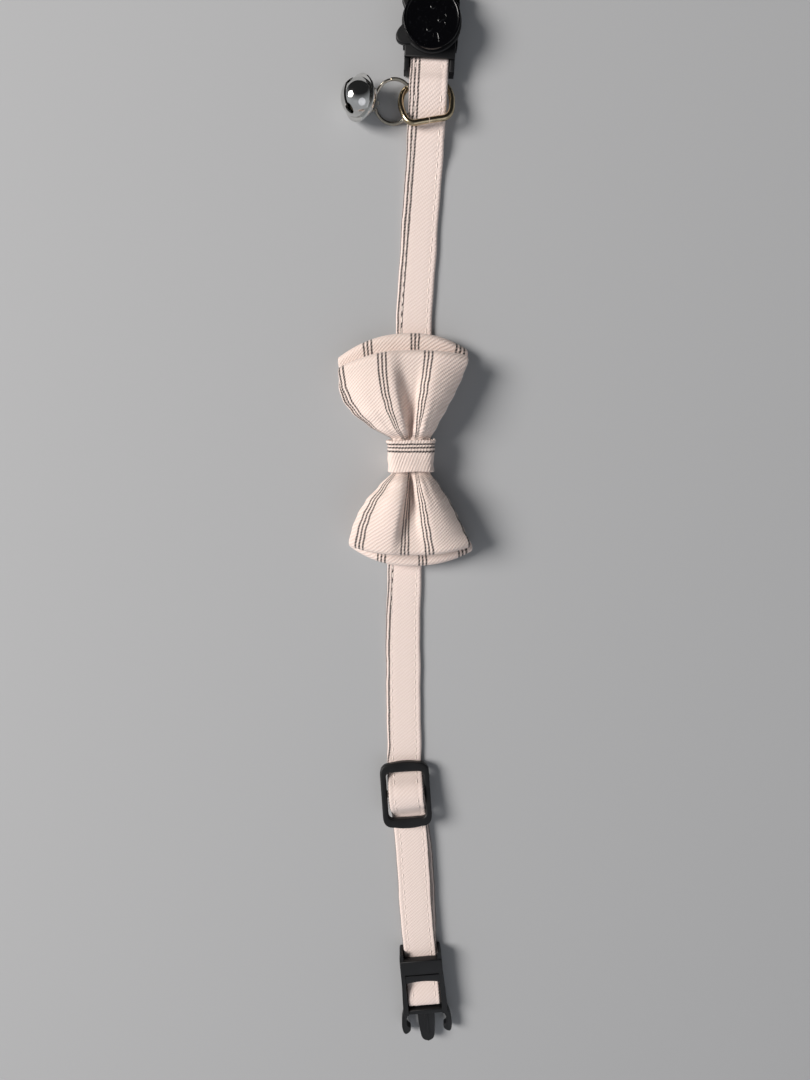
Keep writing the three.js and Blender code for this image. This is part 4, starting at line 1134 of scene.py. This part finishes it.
def make_prong_half():
    """Rails, cover, window, barbed claws and middle prong."""
    base = BUCKLE_LIFT
    base_top = WINDOW_FOOT
    window_top = base_top + WINDOW_LENGTH
    base_end = base_top - SILL_LENGTH
    cover_end = window_top + COVER_LENGTH
    rail_end = cover_end + 2.4
    top = base + RAIL_HEIGHT
    reach = rail_outside - 0.35
    groove = window_top + STEP_LENGTH
    middle = on_floor + around_bar
    low = base + (RAIL_HEIGHT - PRONG_THICK) / 2 - 0.4
    far = base_end - CLAW_LENGTH
    parts = []
    for side in (-1, 1):
        rail = rounded([
            (side * rail_inside, base_end + 0.1, 0), (side * rail_outside, base_end + 0.1, 0),
            (side * rail_outside, base_top + 3, 1), (side * (rail_outside - 0.3), window_top, 1),
            (side * (rail_outside - 0.3), cover_end, 1), (side * (rail_outside - 0.5), rail_end, 0.9),
            (side * rail_inside, rail_end, 0.7),
        ], 4)
        parts.append(plate(rail, base, top, 0.25))
        corners = [(base_end + up, out, soft) for up, out, soft in CLAW_ROOT_INSIDE]
        corners += [(far + up, out, soft) for up, out, soft in CLAW_TIP]
        corners += [(base_end + up, out, soft) for up, out, soft in CLAW_ROOT_OUTSIDE]
        claw = rounded([(side * (rail_outside + out), y, soft) for y, out, soft in corners], 4)
        parts.append(plate(claw, low, low + PRONG_THICK, 0.3))
    parts.append(bar(-reach, reach, groove + 0.6, cover_end, under_cover, top + 0.3, 0.4))
    # The second bar's lower edge arches over the window.
    arch = [(reach * math.cos(math.radians(a)), window_top + 1.5 * math.sin(math.radians(a)) - 0.4)
            for a in range(170, 5, -10)]
    step = [(reach, groove), (-reach, groove), (-reach, window_top - 0.4)] + arch
    step.append((reach, window_top - 0.4))
    parts.append(plate(step, under_cover, top - 0.2, 0.3))
    parts.append(bar(-reach, reach, groove - 0.3, groove + 0.9, under_cover, top - 0.7, 0.1))
    half = CROSS_BAR / 2
    parts.append(bar(-rail_inside - 0.3, rail_inside + 0.3, -0.8, 1.4, middle - half, middle + half, 0.25))
    parts.append(bar(-rail_outside, rail_outside, base_end, base_top, base, top - 0.4, 0.4))
    tip, bend = base_end - PRONG_LENGTH, base_end - 0.55 * PRONG_LENGTH
    prong = rounded([
        (-2.8, base_end + 0.5, 0), (-2.5, bend, 2), (-1.9, tip, 2.2),
        (1.9, tip, 2.2), (2.5, bend, 2), (2.8, base_end + 0.5, 0),
    ])
    parts.append(plate(prong, low, low + PRONG_THICK, 0.55, segments=4))
    ridge_end = base_end - 0.78 * PRONG_LENGTH
    ridge = rounded([
        (-0.6, base_end, 0), (-0.5, ridge_end, 0.4), (0.5, ridge_end, 0.4), (0.6, base_end, 0),
    ], 4)
    parts.append(plate(ridge, low + PRONG_THICK - 0.2, low + PRONG_THICK + 0.25, 0.15))
    whole = moved(joined(parts), on_course(prong_bar))
    prongs = finished("buckle_prong_half", whole, satin_black)
    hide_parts("buckle_prongs")


SOCKET_DEPTH = 14
SOCKET_WALL = 0.9
ARM_LENGTH = 3.8
COVER_FOOT = -0.9
HEAD_RADIUS = 7.7
HEAD_THICK = 1.6
HEAD_ASIDE = 0.1
HEAD_AHEAD = 7.55
EAR_REACH = 10
EAR_HALF_DEG = 19
EAR_SPREAD_DEG = 34.5
HEAD_TURN_DEG = -7.5
socket_top = wrap_top + STRAP_THICK / 2 + GAP


def head_outline():
    """A round head with two ears on its left."""
    points = []
    ears = [180 + HEAD_TURN_DEG + side * EAR_SPREAD_DEG for side in (-1, 1)]
    for bearing in range(0, 360, 2):
        lifts = [max(math.cos(math.pi / 2 * min(abs(bearing - ear) / EAR_HALF_DEG, 1)), 0) for ear in ears]
        radius = HEAD_RADIUS + (EAR_REACH - HEAD_RADIUS) * max(lifts)
        angle = math.radians(bearing)
        points.append((HEAD_ASIDE + radius * math.cos(angle), HEAD_AHEAD + radius * math.sin(angle)))
    return points


def make_socket_half():
    """The open ended socket, its arms and bar, and the cat's head on top."""
    base, top = BUCKLE_LIFT, socket_top
    back = around_bar + STRAP_THICK / 2 + GAP
    mouth = back + SOCKET_DEPTH
    wide = rail_outside + 0.2
    middle = on_floor + around_bar
    half = CROSS_BAR / 2
    reach = rail_outside - 0.3
    parts = []
    for side in (-1, 1):
        x0, x1 = sorted((side * rail_inside, side * reach))
        parts.append(bar(x0, x1, -ARM_LENGTH, back + 0.5, base, top, 0.25))
        x0, x1 = sorted((side * (wide - 1), side * wide))
        for y0, y1 in ((back, back + 6), (back + 10, mouth)):
            parts.append(bar(x0, x1, y0, y1, base, top + 0.3, 0.2))
    parts.append(bar(-rail_inside - 0.3, rail_inside + 0.3, -2, 0.2, middle - half, middle + half, 0.25))
    parts.append(bar(-reach, reach, COVER_FOOT, back + 1, top - 0.05, top + 1.1, 0.35))
    parts.append(bar(-wide, wide, back, mouth, base, base + SOCKET_WALL, 0.2))
    parts.append(bar(-wide, wide, back, mouth, top - SOCKET_WALL, top + 0.3, 0.2))
    parts.append(bar(-wide, wide, back, back + 2, base, top, 0.2))
    parts.append(plate(head_outline(), top - 0.1, top + HEAD_THICK, 0.4, segments=4))
    whole = moved(joined(parts), on_course(socket_bar))
    socket = finished("buckle_socket_half", whole, satin_black)
    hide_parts("buckle_socket")


DISC_RADIUS = 7.3
DISC_THICK = 1.4
# A plain cat's face, drawn with its ears to the left: shares of the disc's radius
EYES = [(-0.04, 0.37), (-0.04, -0.37)]
NOSE = (0.28, 0)
MOUTH = [
    [(0.32, 0), (0.43, 0.03), (0.49, 0.11), (0.44, 0.2)],
    [(0.32, 0), (0.43, -0.03), (0.49, -0.11), (0.44, -0.2)],
]
WHISKERS = [
    [(0.14, 0.48), (0.16, 0.62), (0.15, 0.77)], [(0.28, 0.45), (0.34, 0.58), (0.38, 0.72)],
    [(0.14, -0.48), (0.16, -0.62), (0.15, -0.77)], [(0.28, -0.45), (0.34, -0.58), (0.38, -0.72)],
]


def make_face_disc():
    """The rimmed disc with the cat's face in low relief."""
    rim_top = DISC_THICK + 0.25
    # How far inside the edge, and the level there
    side_and_rim = [
        (0.35, 0), (0.1, 0.1), (0, 0.35), (0, rim_top - 0.2), (0.07, rim_top - 0.05), (0.2, rim_top),
        (0.5, rim_top), (0.65, rim_top - 0.06), (0.8, DISC_THICK), (1.2, DISC_THICK - 0.02),
    ]
    profile = [(0, 0)] + [(DISC_RADIUS - inset, z) for inset, z in side_and_rim] + [(0, DISC_THICK)]
    parts = [spun(profile, 96)]
    for x, y in EYES + [NOSE]:
        bump = bmesh.new()
        size = (0.7, 0.7, 0.22) if (x, y) != NOSE else (0.6, 0.8, 0.26)
        spot = Matrix.Translation((x * DISC_RADIUS, y * DISC_RADIUS, DISC_THICK))
        place = spot @ Matrix.Diagonal((*size, 1))
        bmesh.ops.create_uvsphere(bump, u_segments=24, v_segments=12, radius=1, matrix=place)
        parts.append(bump)
    for line in MOUTH + WHISKERS:
        path = smooth_path([Vector((x * DISC_RADIUS, y * DISC_RADIUS, DISC_THICK)) for x, y in line], 0.2)
        parts.append(wire(path, 0.12, sides=8))
    turn = Matrix.Rotation(math.radians(HEAD_TURN_DEG), 4, "Z")
    spot = Matrix.Translation((HEAD_ASIDE, HEAD_AHEAD, 0))
    place = on_course(socket_bar, socket_top + HEAD_THICK + GAP) @ spot @ turn
    disc = finished("face_disc_relief", moved(joined(parts), place), gloss_black)
    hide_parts("face_disc")


make_prong_half()
make_socket_half()
make_face_disc()


# Floor, light and camera

def make_floor():
    """The plain pale floor that the collar lies on."""
    bm = bmesh.new()
    bmesh.ops.create_grid(bm, x_segments=1, y_segments=1, size=1.5)
    mesh = bpy.data.meshes.new("floor")
    bm.to_mesh(mesh)
    bm.free()
    floor = bpy.data.objects.new("floor", mesh)
    bpy.context.scene.collection.objects.link(floor)
    material, _, shader = new_material("pale_matt_floor")
    shader.inputs["Base Color"].default_value = to_linear("#aeb0b2")
    shader.inputs["Roughness"].default_value = 0.95
    mesh.materials.append(material)


def soft_light(name, at, power, size, colour):
    """A round lamp aimed at the middle of the collar."""
    light = bpy.data.lights.new(name, "AREA")
    light.energy = power
    light.shape = "DISK"
    light.size = size
    light.color = to_linear(colour)[:3]
    lamp = bpy.data.objects.new(name, light)
    bpy.context.scene.collection.objects.link(lamp)
    lamp.location = at
    lamp.rotation_euler = (-Vector(at)).to_track_quat("-Z", "Y").to_euler()


def soft_room():
    """Light from the near walls; the ceiling and the far wall are dim."""
    world = bpy.data.worlds.new("soft_room")
    world.use_nodes = True
    tree = world.node_tree
    place = add_node(tree, "ShaderNodeTexCoord")
    height = add_node(tree, "ShaderNodeSeparateXYZ", links={0: place.outputs["Object"]})
    ahead = add_node(tree, MATHS, {"operation": "MULTIPLY", 1: 0.8}, {0: height.outputs[1]})
    gloom = add_node(
        tree, MATHS, {"operation": "MULTIPLY_ADD", 1: 0.7}, {0: height.outputs[2], 2: ahead})
    dim = add_node(
        tree, RANGE, {"From Min": 0.1, "From Max": 0.7, "To Min": 0.55, "To Max": 0.03},
        {"Value": gloom})
    background = tree.nodes["Background"]
    background.inputs["Color"].default_value = to_linear("#dfe2e6")
    tree.links.new(dim.outputs[0], background.inputs["Strength"])
    bpy.context.scene.world = world


make_floor()
soft_light("window_light", (-1.15, 0.3, 0.95), 29, 0.75, "#fffaf6")
soft_light("room_light", (0.35, -0.6, 0.8), 1, 0.9, "#f6f6ff")
soft_room()
bpy.context.scene.view_settings.view_transform = "Standard"

camera_data = bpy.data.cameras.new("camera")
camera_data.sensor_fit = "VERTICAL"
camera_data.sensor_height = 36
camera_data.lens = 27.07
camera_data.clip_start = 0.01
camera = bpy.data.objects.new("camera", camera_data)
camera.location = Vector((-0.38, 47.5, 234.17)) * MM
camera.rotation_euler = (math.radians(-9.5), 0, 0)
bpy.context.scene.collection.objects.link(camera)
bpy.context.scene.camera = camera
